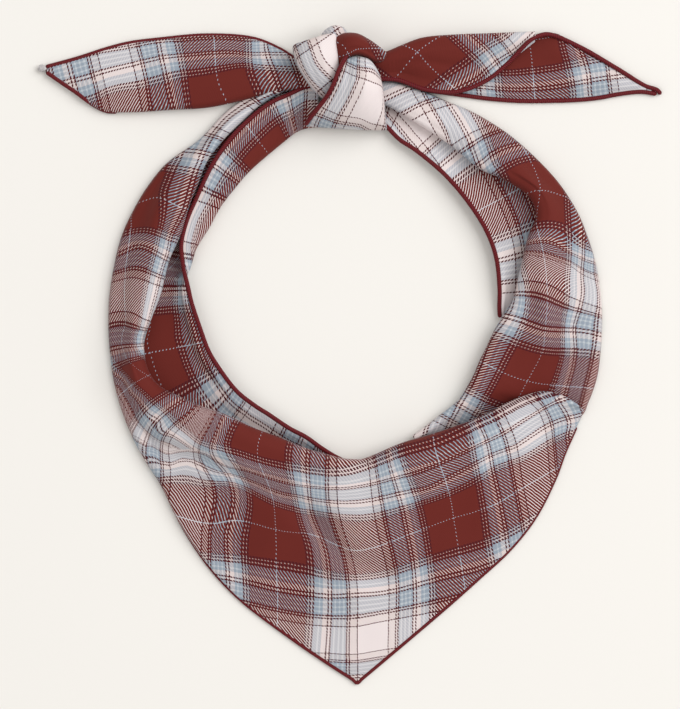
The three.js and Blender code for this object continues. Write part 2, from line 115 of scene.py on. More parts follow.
FRONT_FOLD = table(SHEET_COLUMNS, [
    ((-18.5, 122), (-22.5, 127.5), 5, 0.0, 3.5, 3),
    ((-30, 118.5), (-33.5, 123), 6, 0.0, 4, 3),
    ((-39.5, 113), (-44, 117.5), 7, 0.2, 4.5, 3),
    ((-49, 104.5), (-55.5, 109.5), 8, 0.5, 5, 4),
    ((-57.5, 96), (-67.5, 97), 9, 0.5, 5, 5),
    ((-64.5, 86.5), (-82, 86.5), 10, 0.8, 5, 6),
    ((-68, 77.5), (-90, 77), 11, 1.0, 5, 6),
    ((-72, 67.5), (-96.5, 66.5), 12, 1.2, 5, 6),
    ((-76, 54), (-102.5, 53.5), 12, 1.5, 5, 6),
    ((-81, 43), (-106, 39.5), 12, 1.5, 5, 6),
    ((-85, 27.5), (-108, 27), 12, 1.5, 5, 6),
    ((-89.5, 15.5), (-108.5, 15), 12, 1.0, 5, 6),
    ((-92.5, 5), (-108, 3.5), 12, 0.8, 5, 5),
    ((-90.5, -7), (-106.5, -9.5), 12, 0.8, 5, 5),
    ((-85.5, -14), (-103.5, -22), 12, 1.0, 5, 5),
    ((-77, -18.5), (-99, -34), 13, 1.0, 5, 6),
    ((-68, -22.5), (-93, -46), 13, 0.5, 5, 6),
    ((-55.5, -27), (-85, -58.5), 14, 0.0, 4.5, 7),
    ((-44, -32.5), (-77, -75), 14, -0.5, 4, 7),
    ((-32, -37), (-65, -93), 14, -1.0, 3, 8),
    ((-21, -41.5), (-50.5, -109), 14, -1.0, 2, 8),
    ((-11, -44.5), (-26.5, -127.5), 13, -1.5, 1.2, 8),
    ((-3.5, -46.5), (-9, -139.5), 13, -1.5, 1, 8),
    ((1.8, -47), (1.2, -146.1), 13, -1.5, 1, 8),
    ((3.5, -47), (3.5, -147.8), 13, -1.5, 1, 8),
    ((5.2, -47), (5.7, -145.9), 13, -1.5, 1, 8),
    ((11, -45), (24, -130.5), 14, -1.0, 1, 8),
    ((22.5, -40), (44.5, -113), 15, 0.0, 1.2, 8),
    ((36, -36), (58.5, -100.5), 15, 0.5, 1.4, 8),
    ((49.5, -31.5), (72, -88), 14, 0.8, 1.6, 8),
    ((60.5, -27), (83.5, -73.5), 13, 1.0, 2, 7),
    ((70, -22), (92.5, -56), 12, 1.0, 2.5, 7),
    ((78.5, -18.5), (97, -44), 11, 0.8, 3, 6),
    ((86, -16.5), (101, -35), 10.5, 0.6, 3.5, 5),
    ((92, -17), (103.5, -29.5), 9.5, 0.3, 4, 3),
    ((98, -19.5), (105, -26.5), 8, 0.0, 4, 2.5),
    ((102, -22), (105.5, -25), 6.5, 0.0, 3.5, 2),
])

SIDE_FOLD_RIGHT = table(SHEET_COLUMNS, [
    ((9, 115), (7.5, 122), 5, 0.0, 3.5, 3),
    ((17.5, 112), (16.5, 123.5), 6, 0.5, 4, 3),
    ((27, 106.5), (28, 121), 7, 1.0, 4, 4),
    ((36, 101), (42, 115), 7, 1.5, 4.5, 4),
    ((47.5, 93), (57, 108.5), 7, 1.5, 5, 4),
    ((58.5, 84), (72, 99), 8, 1.5, 5, 5),
    ((69.5, 79), (84.5, 88), 10, 1.0, 5, 5),
    ((81, 71), (94.5, 77), 11, 0.8, 5, 4),
    ((84, 62.5), (102.5, 64.5), 11, 1.0, 5, 5),
    ((80.5, 53.5), (106.5, 55), 11, 1.2, 5, 6),
    ((77, 39), (111, 40.5), 11, 1.5, 5, 6),
    ((73.5, 25), (113.5, 22), 11, 1.5, 5, 7),
    ((69, 17.5), (113.5, 10.5), 11, 1.0, 5, 8),
    ((64.5, 9.5), (112.8, -0.5), 10, 0.5, 4.5, 8),
    ((61.5, 3), (111.2, -11), 10, -1.0, 4.5, 8),
    ((58.5, -3), (107.8, -20.5), 10, -2.0, 4, 7),
    ((56, -9), (104, -27.5), 9.5, -2.4, 2.5, 6),
    ((53, -14.5), (88, -25.5), 9, -2.4, 0.6, 6),
    ((49, -20.5), (73, -29.5), 8, -3.4, 0.6, 5),
    ((41, -27), (55, -38), 7, -4.0, 0.6, 4),
    ((34, -32.5), (42.5, -44), 6, -4.0, 0.6, 3),
    ((28.5, -36.5), (32.5, -44.5), 5, -4.0, 0.6, 2.5),
])

TAIL_RIGHT_FLAP = table(SHEET_COLUMNS, [
    ((10, 134.5), (10, 124), 9, 0.0, 7, 2),
    ((17, 136.5), (17, 124), 9, 0.5, 7, 3),
    ((23, 139), (22.5, 123.5), 9, 1.0, 6, 4),
    ((32.5, 142.5), (34, 119.5), 9, 1.5, 5, 5),
    ((48, 144), (48, 118.5), 9, 1.0, 4, 5),
    ((61.5, 144.5), (61.5, 123.5), 8, 0.5, 3.4, 4),
    ((72, 145), (71.5, 131.5), 7, 0.3, 3.2, 3),
    ((83.5, 145.5), (83.5, 141), 5.6, 0.0, 3, 1.5),
])

TAIL_LEFT = table(SHEET_COLUMNS, [
    ((-12, 120), (-12, 131), 8, 1.0, 4, 4),
    ((-22.5, 119.5), (-22.5, 132.5), 8, 1.5, 4, 5),
    ((-32, 118.5), (-31, 137.5), 8, 2.0, 3.5, 7),
    ((-49, 114.5), (-43, 142.4), 8, 1.5, 3, 9),
    ((-64, 111.5), (-64, 144), 7, 1.5, 3, 9),
    ((-81, 110.5), (-85.5, 142.2), 6, 1.5, 2.5, 8),
    ((-99, 109.5), (-99, 140.5), 5, 1.5, 2.2, 6),
    ((-112, 110.5), (-109, 138), 3.5, 1.5, 2, 4),
    ((-124, 118.5), (-123, 133.5), 2.8, 1.0, 1.8, 2.5),
    ((-136.6, 127.3), (-137, 129.7), 2.6, 0.0, 1.6, 1.2),
])

# Each row is the hem, the turned fold and the hidden edge, the heights of the hem and the fold, the
# hem's place in the plaid along and across, and how many pixels of the plaid lie in one across.
BORDER_COLUMNS = ("hem", "fold", "hidden", "hem_height", "fold_height", "along", "across", "spread")

BORDER_LEFT = table(BORDER_COLUMNS, [
    ((-14, 121), (-14, 103), (-14, 123), 6, 3.5, 82, 47, 1),
    ((-19.5, 120.5), (-20.5, 102), (-22, 122.5), 6, 3.5, 70, 47, 1),
    ((-27.5, 117), (-24, 100.5), (-31, 119.5), 6, 3.5, 51, 46, 1),
    ((-36, 113), (-28, 97.5), (-40, 115.5), 6.5, 3.5, 30, 46, 1),
    ((-47, 104), (-36.5, 90.5), (-51.5, 107), 7, 3.5, 0, 45, 1),
    ((-56, 94), (-45, 83), (-61.5, 97), 7, 3.5, -30, 45, 1),
    ((-63, 83), (-51.5, 75.5), (-69.5, 85.5), 7, 3.5, -57, 45, 1.15),
    ((-68.5, 71), (-58, 67), (-76, 73.5), 7, 3.5, -77, 45, 1.35),
    ((-73, 60.5), (-63.5, 57), (-80.5, 62), 7, 3.5, -96, 45, 1.6),
    ((-75.5, 49.5), (-69, 48), (-83, 50.5), 7, 3.5, -116, 44, 1.8),
    ((-74.5, 39), (-72, 38.6), (-87.5, 41), 6.5, 3.5, -130, 42, 2),
    ((-72.5, 30), (-76, 30), (-91, 29.5), 6, 2.4, -141, 40, 1.8),
    ((-71, 23.5), (-75.5, 23.3), (-93, 22), 6, 1.8, -155, 39, 1.4),
    ((-66.5, 10), (-72, 9.3), (-99, 5.5), 6, 1.8, -184, 39, 1),
    ((-63.5, 2), (-69, 0.6), (-98.5, -7), 6, 1.8, -200, 38, 1),
    ((-60, -4), (-65, -6.5), (-90.5, -19.5), 6, 2.2, -218, 36, 1),
    ((-51, -16), (-53.5, -19.5), (-64, -32.5), 5.5, 4, -247, 33, 1),
    ((-43, -22.5), (-45, -25.7), (-53, -37.5), 5, 3.8, -274, 33, 1),
    ((-36, -27), (-37.8, -30), (-44, -41), 5, 3.6, -295, 33, 1),
    ((-27, -33), (-28.5, -36), (-33.5, -45.5), 4.5, 3, -318, 33, 1),
    ((-19.5, -37), (-20.7, -39.8), (-25, -48.5), 4, 2.4, -337, 33, 1),
    ((-12.5, -42), (-13.4, -44.5), (-16.5, -52.5), 3, 1.6, -357, 33, 1),
    ((-5, -46.5), (-5.6, -48.6), (-8, -55.5), 1.6, 0.8, -377, 33, 1),
    ((2, -49), (2, -51), (2, -58), 1.1, 0.6, -394, 33, 1),
    ((11.5, -47.5), (12, -49.5), (13.5, -56.5), 1.1, 0.6, -415, 33, 1),
    ((18, -45.5), (18.8, -47.5), (21, -54), 1.1, 0.6, -430, 33, 1),
])

BORDER_RIGHT = table(BORDER_COLUMNS, [
    ((9, 109.5), (9.3, 112), (10, 118.5), 3.5, 3.0, 139, -40, 1),
    ((16.5, 103), (17.3, 105.5), (21, 115.5), 4, 3.2, 118, -36, 1),
    ((22.5, 97), (24.5, 99.3), (34, 110), 4.5, 3.6, 99, -33, 1),
    ((30, 92), (32.5, 94.5), (42.5, 104), 5, 4, 79, -27, 1),
    ((43, 81), (46, 83.6), (56, 92), 5.5, 4, 41, -16.5, 1),
    ((54, 68), (58, 70.4), (73, 79.5), 6, 4, 10, -10, 1),
    ((62, 55), (67, 57), (88, 66), 6, 4, -24, -6, 1),
    ((66, 43.5), (70.5, 44.8), (88.5, 50), 6, 4, -48, -3, 1),
    ((67.5, 29.5), (71, 29.8), (84, 31), 5, 3, -76, 0, 1),
    ((67.5, 20), (70, 19.6), (78, 18.5), 3, 1.6, -97, 0, 1),
    ((68.5, 12), (70.5, 11.4), (76.5, 9.5), 1.1, 0.6, -115, 0, 1),
])

TAIL_RIGHT_BACK = table(("upper", "lower", "swell"), [
    ((12, 134), (12, 123.5), 0.3),
    ((23, 137.5), (22.5, 122.5), 0.3),
    ((32.5, 141), (34, 119.5), 0.3),
    ((48, 142.5), (48, 117.5), 0.4),
    ((61.5, 143), (63, 115.5), 0.6),
    ((72, 143.5), (76.5, 114.5), 1.0),
    ((83.5, 144), (89.5, 114.5), 2.0),
    ((92.5, 145), (103.5, 115), 3.0),
    ((104, 138.5), (113, 116), 3.0),
    ((115.5, 131.5), (121, 117.5), 2.5),
    ((130.5, 123), (131.5, 118.6), 1.2),
    ((138.5, 119.4), (138.5, 117.6), 0.4),
])

# Turns of cloth in the knot. Each row is one section: its two sides as photo points, their heights, and
# the heights of the crown and the underside, in millimetres.
TURN_COLUMNS = ("left", "right", "left_z", "right_z", "crown", "under")

LOBE_FRONT = table(TURN_COLUMNS, [
    ((346, 60), (360, 57.5), 20.0, 18.0, 21.5, 17.0),
    ((342, 66), (371, 63), 20.5, 16.0, 24.0, 13.0),
    ((337.5, 76), (379.5, 76), 20.5, 13.0, 25.5, 9.0),
    ((333, 88), (383, 90), 20.0, 11.0, 25.5, 6.0),
    ((326.5, 99.5), (384.5, 103), 18.0, 9.0, 23.5, 4.0),
    ((317, 111), (385.5, 115), 15.0, 7.5, 20.5, 3.0),
    ((308.5, 121.5), (386.5, 125), 11.5, 6.5, 16.0, 2.6),
    ((306, 126), (386.5, 129.5), 8.5, 5.5, 11.5, 2.6),
    ((310, 127.5), (383, 131.5), 7.0, 5.0, 8.5, 3.4),
])

WRAP_LEFT = table(TURN_COLUMNS, [
    ((296, 45), (333, 33), 12.0, 15.0, 17.5, 9.0),
    ((293, 48), (336, 37), 12.0, 17.0, 20.5, 7.0),
    ((294.5, 59), (337.5, 50), 11.5, 18.0, 22.5, 5.0),
    ((299, 70), (338.5, 62), 11.0, 18.0, 22.5, 4.0),
    ((305, 80), (339, 73), 10.0, 16.5, 21.5, 3.5),
    ((312, 90), (338, 84), 9.0, 14.0, 19.0, 3.5),
    ((319, 96.5), (335, 93), 8.0, 11.0, 15.5, 3.5),
    ((325, 100), (331, 99), 7.0, 8.0, 10.0, 5.0),
])

LOBE_TOP = table(TURN_COLUMNS, [
    ((329, 40), (338, 74), 14.0, 14.0, 16.5, 10.0),
    ((336.5, 37.5), (342, 68), 14.5, 16.0, 20.5, 8.0),
    ((346, 34.5), (349, 60), 14.0, 17.5, 23.0, 6.0),
    ((357, 35), (357, 57.5), 13.0, 17.0, 23.0, 5.0),
    ((368, 40), (365, 59), 11.5, 14.5, 20.5, 4.0),
    ((378, 46.5), (374, 63), 10.0, 11.0, 16.5, 3.5),
    ((385, 52), (381, 63), 8.5, 8.5, 12.5, 4.0),
    ((388, 55.5), (386, 59.5), 7.5, 7.5, 9.0, 6.0),
])

KNOT_NUB = table(TURN_COLUMNS, [
    ((320.5, 36), (322, 43), 9.0, 9.0, 11.0, 7.0),
    ((325, 31), (327, 45), 10.0, 10.0, 15.5, 6.0),
    ((331, 27.5), (332, 46), 11.0, 11.0, 18.0, 5.0),
    ((338, 26.5), (338, 45), 11.0, 11.0, 18.0, 5.0),
    ((344, 29), (344, 43), 10.0, 10.0, 16.0, 6.0),
    ((348, 34), (347.5, 40), 9.0, 9.0, 11.5, 7.0),
])

# Soft pleats along a turn: the share of its width, its drift along the turn, and its width and lift.
PLEAT_COLUMNS = ("share", "drift", "width", "lift")
LOBE_FRONT_PLEATS = table(PLEAT_COLUMNS, [
    (0.3, 0.1, 0.07, -0.9), (0.62, -0.1, 0.08, 0.8), (0.82, 0.1, 0.06, -0.6)])
WRAP_PLEATS = table(PLEAT_COLUMNS, [(0.3, 0.05, 0.07, -0.6), (0.66, 0.1, 0.08, 0.6)])
LOBE_TOP_PLEATS = table(PLEAT_COLUMNS, [(0.3, 0.2, 0.1, 0.5), (0.7, -0.1, 0.1, -0.6)])
NUB_PLEATS = table(PLEAT_COLUMNS, [(0.4, 0.0, 0.12, -0.5)])

# A turn's section is an ellipse with its sides and its rise made a little squarer, and its ends close up
# over a share of its length.
TURN_SIDE_POWER = 0.85
TURN_RISE_POWER = 0.75
TURN_END_SHARE = 0.06

# Hems. A hem is seen over a share of its edge, and the point's two hems are finer and cross at its tip.
HEM_SIDES = 12
HEM_OFF_FLOOR_MM = 0.05
HEM_END_ROUND = 0.8
HEM_THIN_START = 0.3
NECK_LEFT_SHOWN = (0.0, 0.914)
NECK_RIGHT_SHOWN = (0.0, 0.94)
POINT_LEFT_FROM = 0.495
POINT_RIGHT_SHOWN = (0.0, 0.79)
FLAP_SHOWN = (0.0, 0.85)
TAIL_END_SHOWN = (0.85, 1.0)
TAIL_FOLD_COLUMN = 14
POINT_HEM_SIZE = 0.8
POINT_HEM_THIN_OVER_MM = 25.0
TIP_CROSSING_MM = ((-0.4, 0.35, 0.0), (0.4, -0.35, 0.0))

# The hem that crosses the knot, as photo points, how near a turn's point is to lie under it, and over how
# many points its height is smoothed.
KNOT_HEM = ((347, 58), (343, 65), (338, 75), (333.5, 87), (327, 98.5), (318, 110), (309.5, 120.5),
            (305.5, 126))
KNOT_HEM_POINTS = 120
UNDER_HEM_MM = 1.1
KNOT_HEM_SMOOTHED = 13

# The left tail's end hem starts along its lower fold: [x, y, z] in millimetres.
HEM_UNDER_TAIL = ((-104.5, 109.6, 1.5), (-109.5, 110.0, 1.4), (-114.0, 111.9, 1.4))

# The right tail's hem goes on from its front layer round the back layer's upper edge.
HEM_TO_TIP = ((81.0, 141.3, 5.2), (85.0, 143.6, 4.0), (90.0, 144.4, 2.4), (103.7, 138.8, 1.6),
              (121.3, 128.6, 1.4), (133.4, 121.2, 1.3), (138.6, 119.4, 1.3), (140.4, 117.4, 1.3))

# The thread's end at the left tail's tip, in millimetres
THREAD_PLACE = (-138.5, 129.2, 1.8)
THREAD_RADII = (1.95, 1.7, 1.6)
THREAD_LUMPS = 0.12

# The plaid

# One repeat of the plaid is 192 pixels both ways. A pale band's middle is at 96 along the cloth's long
# edge. Square to it a pale band's middle is at 45.5 over the front point, and a red band's at 141.5.
SETT_REPEAT = 192.0
PALE_ALONG = 96.0
PALE_ACROSS = 45.5
RED_ACROSS = 141.5
NUB_SHIFT = (-36, 34)

# The plaid's places are fitted in hundreds of pixels and a little softly. Over a border the heights count
# for less, and a step of cloth is steep when it is so many times its length on the plan.
FIT_PIXELS = 100
FIT_SOFTNESS = 2e-4
BORDER_HEIGHT_SHARE = 0.4
STEEP = 1.5

# Where lines of the plaid run on each piece: the line's place in the plaid and points seen along it.
LINE_COLUMNS = ("place", "seen")

FRONT_ALONG = table(LINE_COLUMNS, [
    (0, ((263, 431), (260, 464), (274, 503), (276, 566), (277, 627))),
    (-31, ((235, 426), (229, 450), (249, 489), (245, 555))),
    (-51, ((223, 416), (211, 447), (226, 473), (226, 534), (228, 583))),
    (-79.5, ((204, 428), (198, 437), (204, 485), (201, 548))),
    (-112.5, ((201, 408), (183, 426), (169, 445), (170, 467), (169, 499))),
    (-141, ((183, 401), (167, 412), (149, 433), (144, 450), (145, 461))),
    (-192, ((150, 375), (117, 398))),
    (-243, ((119, 347), (142, 345))),
    (-271.5, ((110, 313), (134, 313), (151, 321))),
    (-304.5, ((111, 283), (133, 278), (163, 287))),
    (-333, ((118, 255), (140, 247), (170, 260))),
    (-384, ((136, 204), (157, 198), (182, 208))),
    (-435, ((190, 151), (209, 154))),
    (-463.5, ((214, 127), (229, 133))),
    (-496.5, ((242, 102), (255, 111))),
    (-525, ((272, 87), (278, 94))),
    (31, ((307, 543), (308, 638))),
    (51, ((309, 487), (313, 515), (326, 550), (327, 661))),
    (79.5, ((337, 470), (344, 531), (355, 569), (358, 676))),
    (112.5, ((369, 470), (379, 538), (388, 576), (388, 648))),
    (141, ((401, 506), (413, 567), (414, 633))),
    (161, ((401, 451), (420, 507), (431, 569), (433, 618))),
    (192, ((433, 439), (449, 494), (465, 589))),
    (223, ((468, 432), (476, 474), (486, 534))),
    (243, ((479, 422), (492, 467), (506, 531))),
    (271.5, ((503, 411), (515, 440), (530, 521))),
    (304.5, ((525, 397), (537, 410), (547, 444), (550, 476))),
    (333, ((557, 401), (569, 424), (567, 435))),
])

FRONT_ACROSS = table(LINE_COLUMNS, [
    (19.5, ((330, 661), (356, 662), (381, 658))),
    (62, ((261, 616), (316, 626), (356, 627), (393, 620), (437, 612))),
    (90.5, ((219, 577), (277, 590), (356, 595), (431, 581), (480, 569))),
    (141.5, ((179, 516.5), (196, 521.5), (215, 523.5), (260, 525), (307, 533), (355, 550), (401, 537),
             (451, 518), (499, 502), (561, 466))),
    (172.5, ((160, 481), (200, 482.5), (240, 486), (258, 495), (276, 504), (300, 511), (347, 517),
             (427, 501), (500, 466), (567, 435))),
    (192.5, ((144, 462), (170, 464), (204, 466), (230, 473.5), (261, 484), (299, 495), (332, 501),
             (427, 487), (514, 446), (575, 416))),
    (211.5, ((135, 440), (154, 448), (180, 451.5), (204, 453), (230, 467), (261, 475), (299, 485),
             (340, 488), (400, 476), (427, 468), (474, 447), (514, 426), (558, 401))),
    (237.5, ((130, 427), (141, 434))),
    (263.5, ((119, 388), (127, 401), (137, 420.5), (146, 431), (158, 440))),
    (282.5, ((113, 376), (130, 392), (139, 401), (159, 420.5), (173, 436), (188, 445.5))),
    (302.5, ((127, 375), (155, 402), (167, 412), (181, 426), (198, 440), (233, 450), (261, 459), (299, 467),
             (340, 471), (400, 451), (433, 442), (475, 423), (494, 414), (520, 400), (541, 392))),
    (313, ((109, 297), (111, 275))),
    (327.5, ((198, 404), (150, 380))),
    (333.5, ((129, 245), (126, 268), (125, 292), (126, 318))),
    (364.5, ((163, 195), (161, 228), (156, 250), (151, 268), (146, 289), (142.5, 308), (139.5, 326))),
    (373.5, ((298, 68), (256, 87), (211, 119), (186, 165), (174.5, 204))),
    (384.5, ((303, 79), (261, 98), (220, 127), (197, 170), (186, 207))),
    (384.5, ((172, 236), (167, 256), (163, 268), (159, 283), (155.5, 298), (151.5, 312), (147, 328),
             (144.5, 345))),
    (395.5, ((308, 90), (266, 109), (229, 135), (208, 175), (197.5, 210))),
])

# A pleat hides part of the cloth over the front. It opens out at the left bend, over so many pixels.
FRONT_PLEAT = ((128, 434), (141, 440), (150, 443.5), (163, 447), (180, 449), (204, 450), (230, 463.5),
               (261, 471.5), (299, 481.5), (340, 484.5), (400, 472.5), (447, 456.5), (474, 443.5),
               (494, 434.5), (534, 411.5), (566, 392))
PLEAT_OPENS_OVER = 34

SIDE_ALONG = table(LINE_COLUMNS, [
    (0, ((483, 363), (499, 371), (527, 381))),
    (-51, ((458, 405), (475, 414))),
    (-79.5, ((436, 422), (448, 428))),
    (51, ((517, 319), (543, 328), (586, 331))),
    (79.5, ((520, 282), (568, 296), (598, 307))),
    (112.5, ((525, 255), (568, 265), (598, 281))),
    (141, ((525, 245), (568, 253), (586, 261))),
    (161, ((536, 226), (564, 228))),
    (192, ((538, 191), (559, 195))),
    (223, ((506, 168), (529, 159))),
    (243, ((478, 165), (495, 152), (518, 144))),
    (271.5, ((444, 149), (466, 136), (490, 125))),
    (304.5, ((395, 128), (427, 113), (451, 105))),
    (333, ((386, 99), (403, 91))),
])

SIDE_ACROSS = table(LINE_COLUMNS, [
    (96, ((528, 157), (539, 186), (536, 224), (546, 313), (543, 348), (527, 381))),
    (127, ((568, 233), (566, 282))),
    (147, ((583, 260), (583, 290), (574, 328), (570, 380))),
    (170, ((597, 267), (602, 298), (600, 336))),
    (65, ((481, 126), (496, 164), (504, 175), (517, 338), (500, 371), (484, 401))),
    (45, ((449, 106), (469, 141), (478, 165), (513, 298), (490, 338), (471, 384), (449, 424))),
    (26, ((429, 103), (440, 122), (451, 151))),
    (16.5, ((414, 95), (432, 127), (443, 149))),
])

TAIL_LEFT_ALONG = table(LINE_COLUMNS, [
    (-45, ((68, 61), (73, 79))),
    (-26, ((88, 56), (98, 95))),
    (0, ((113, 50), (127, 112))),
    (26, ((138, 47), (151, 109))),
    (45, ((158, 43), (166, 79), (173, 109))),
    (65, ((178, 41), (189, 107))),
    (96, ((214, 40), (219, 84), (226, 100))),
    (127, ((248, 41), (250, 74))),
    (147, ((266, 47), (275, 74))),
])

TAIL_LEFT_ACROSS = table(LINE_COLUMNS, [
    (26, ((48, 66), (98, 52), (128, 47), (182, 40))),
    (45, ((64, 82), (101, 72), (137, 63), (164, 57), (209, 53), (248, 54))),
    (65, ((92, 99), (110, 91), (137, 86), (182, 75), (244, 66))),
    (90, ((118, 113), (160, 111.5), (195, 108), (235, 100), (262, 93))),
])

FLAP_ALONG = table(LINE_COLUMNS, [
    (0, ((437, 39), (417, 53), (399, 74))),
    (31, ((441, 79), (462, 64), (489, 45), (504, 37))),
    (51, ((454, 91), (477, 79), (494, 64), (529, 38))),
])

FLAP_ACROSS = table(LINE_COLUMNS, [
    (0, ((402, 45), (417, 53), (427, 64), (441, 77))),
    (31, ((452, 39), (466, 52), (481, 66))),
    (51, ((473, 37), (489, 51), (500, 66))),
])

BACK_ALONG = table(LINE_COLUMNS, [
    (-96, ((530, 43), (533, 72), (535, 96))),
    (-65, ((561, 41), (567, 64), (573, 93))),
    (-45, ((582, 52), (588, 70), (590, 91))),
    (-26, ((607, 64), (611, 91))),
    (0, ((630, 73), (632, 85))),
])

BACK_ACROSS = table(LINE_COLUMNS, [
    (45, ((485, 87), (533, 89), (561, 86), (600, 79), (626, 76))),
    (65, ((502, 72), (533, 70), (561, 66), (590, 60))),
])

LOBE_FRONT_ALONG = table(LINE_COLUMNS, [
    (45, ((346, 63), (341, 79), (334, 95), (325, 111), (319, 121))),
    (26, ((358, 67), (358, 79), (354, 91), (347, 105), (336, 123))),
    (16.5, ((365, 63), (366, 76), (363, 89), (355, 107), (344, 128))),
])

LOBE_FRONT_ACROSS = table(LINE_COLUMNS, [
    (-26, ((356, 71), (373, 74), (379, 78))),
    (-16.5, ((346, 75), (357, 80), (369, 84), (382, 88))),
    (16.5, ((326, 111), (341, 117), (353, 119), (369, 124), (379, 126))),
    (26, ((325, 119), (341, 124), (361, 127))),
])

WRAP_ALONG = table(LINE_COLUMNS, [
    (45, ((295, 49), (301, 66), (311, 83), (321, 93))),
    (26, ((312, 53), (319, 69), (330, 80))),
    (16.5, ((317, 43), (323, 59), (334, 72))),
])

WRAP_ACROSS = table(LINE_COLUMNS, [
    (-16.5, ((299, 59), (317, 47), (328, 39))),
    (16.5, ((319, 92), (333, 81))),
])

LOBE_TOP_ALONG = table(LINE_COLUMNS, [
    (0, ((336, 44), (344, 49), (348, 56))),
    (20, ((358, 40), (366, 56))),
])

LOBE_TOP_ACROSS = table(LINE_COLUMNS, [
    (0, ((349, 56), (357, 52), (377, 50))),
    (-15, ((350, 39), (362, 39))),
])

# Soft creases and rises in the cloth. Each row is the line's photo points, how much it lifts the cloth in
# millimetres, a negative value for a valley, and half its width in pixels.
CREASE_COLUMNS = ("line", "lift", "reach")

FRONT_CREASES = table(CREASE_COLUMNS, [
    (((112, 372), (124, 408), (140, 434), (165, 449), (198, 458), (232, 474), (262, 490)), -3.0, 8),
    (((133, 395), (158, 428), (190, 442), (225, 454), (262, 470)), 1.8, 8),
    (((262, 490), (300, 508), (335, 528)), -1.8, 10),
    (((298, 500), (312, 522), (332, 546), (362, 566), (395, 578)), -2.8, 11),
    (((352, 520), (378, 540), (408, 552)), 1.0, 12),
    (((290, 520), (262, 560), (250, 590)), 1.3, 14),
    (((392, 500), (400, 560), (404, 610)), 1.4, 16),
    (((470, 440), (480, 490), (484, 530)), 1.2, 12),
    (((500, 425), (520, 470), (535, 500)), -1.4, 9),
    (((545, 400), (556, 440), (552, 480)), 0.9, 9),
    (((120, 300), (134, 325), (140, 355), (132, 385)), 1.4, 6),
    (((128, 250), (122, 290), (126, 330), (120, 370)), -1.3, 6),
    (((172, 170), (158, 210), (146, 250)), 1.5, 7),
    (((190, 175), (176, 210), (163, 250)), -1.4, 6),
])

SIDE_CREASES = table(CREASE_COLUMNS, [
    (((455, 105), (492, 140), (520, 170), (537, 200), (536, 250)), 1.2, 7),
    (((536, 250), (543, 300), (548, 340), (535, 375)), 1.4, 7),
    (((560, 210), (572, 260), (574, 310), (566, 350)), -1.2, 9),
    (((520, 255), (530, 300), (520, 345), (500, 380)), -1.5, 8),
])

TAIL_LEFT_CREASES = table(CREASE_COLUMNS, [
    (((292, 66), (250, 64), (205, 72), (160, 84)), -1.0, 6),
    (((280, 56), (240, 52), (200, 52)), 0.7, 5),
    (((140, 52), (150, 80), (156, 104)), -0.6, 7),
])

FLAP_CREASES = table(CREASE_COLUMNS, [
    (((388, 66), (420, 62), (460, 66), (490, 62)), -0.8, 5),
    (((392, 58), (430, 48), (470, 46)), 0.7, 5),
])

BACK_CREASES = table(CREASE_COLUMNS, [
    (((520, 60), (560, 64), (600, 74), (640, 86)), -0.8, 6),
    (((525, 84), (560, 84), (600, 84)), 0.6, 6),
])


# Shaping

def on_plan(points):
    """Photo points as millimetres on the plan."""
    seen = np.asarray(points, dtype=float)
    return np.column_stack([seen[:, 0] - PLAN_MIDDLE[0], PLAN_MIDDLE[1] - seen[:, 1]]) * PIXEL_MM


def in_photo(points):
    """Millimetres on the plan as photo points."""
    off = points[:, :2] / PIXEL_MM
    return np.column_stack([PLAN_MIDDLE[0] + off[:, 0], PLAN_MIDDLE[1] - off[:, 1]])


def in_frame(points):
    """Millimetres of the tables as metres of the frame."""
    shifted = np.asarray(points, dtype=float).copy()
    shifted[..., 0] += FRAME_SHIFT_MM[0]
    shifted[..., 1] += FRAME_SHIFT_MM[1]
    return shifted / 1000


def run_through(points, count, start=0.0, end=1.0):
    """Smooth run through rows of points, as many as asked for, from one share of it to another."""
    rows = np.asarray(points, dtype=float)
    last = len(rows) - 1
    whole = np.concatenate([[2 * rows[0] - rows[1]], rows, [2 * rows[-1] - rows[-2]]])
    steps = np.maximum(np.linalg.norm(np.diff(whole, axis=0), axis=-1, keepdims=True), 1e-6) ** 0.5
    out = []
    for place in np.linspace(start * last, end * last, count):
        k = min(int(place), last - 1)
        t = place - k
        before, here, there, after = whole[k:k + 4]
        d0, d1, d2 = steps[k:k + 3]
        leave = d1 * ((here - before) / d0 - (there - before) / (d0 + d1) + (there - here) / d1)
        reach = d1 * ((there - here) / d1 - (after - here) / (d1 + d2) + (after - there) / d2)
        out.append((2 * t ** 3 - 3 * t ** 2 + 1) * here + (t ** 3 - 2 * t ** 2 + t) * leave
                   + (3 * t ** 2 - 2 * t ** 3) * there + (t ** 3 - t ** 2) * reach)
    return np.array(out)


def step_from(a, b, distance, z):
    """Point at a distance from one plan point towards another, at a height."""
    way = np.subtract(b, a) / max(np.hypot(*np.subtract(b, a)), 1e-9)
    return (a[0] + way[0] * distance, a[1] + way[1] * distance, z)


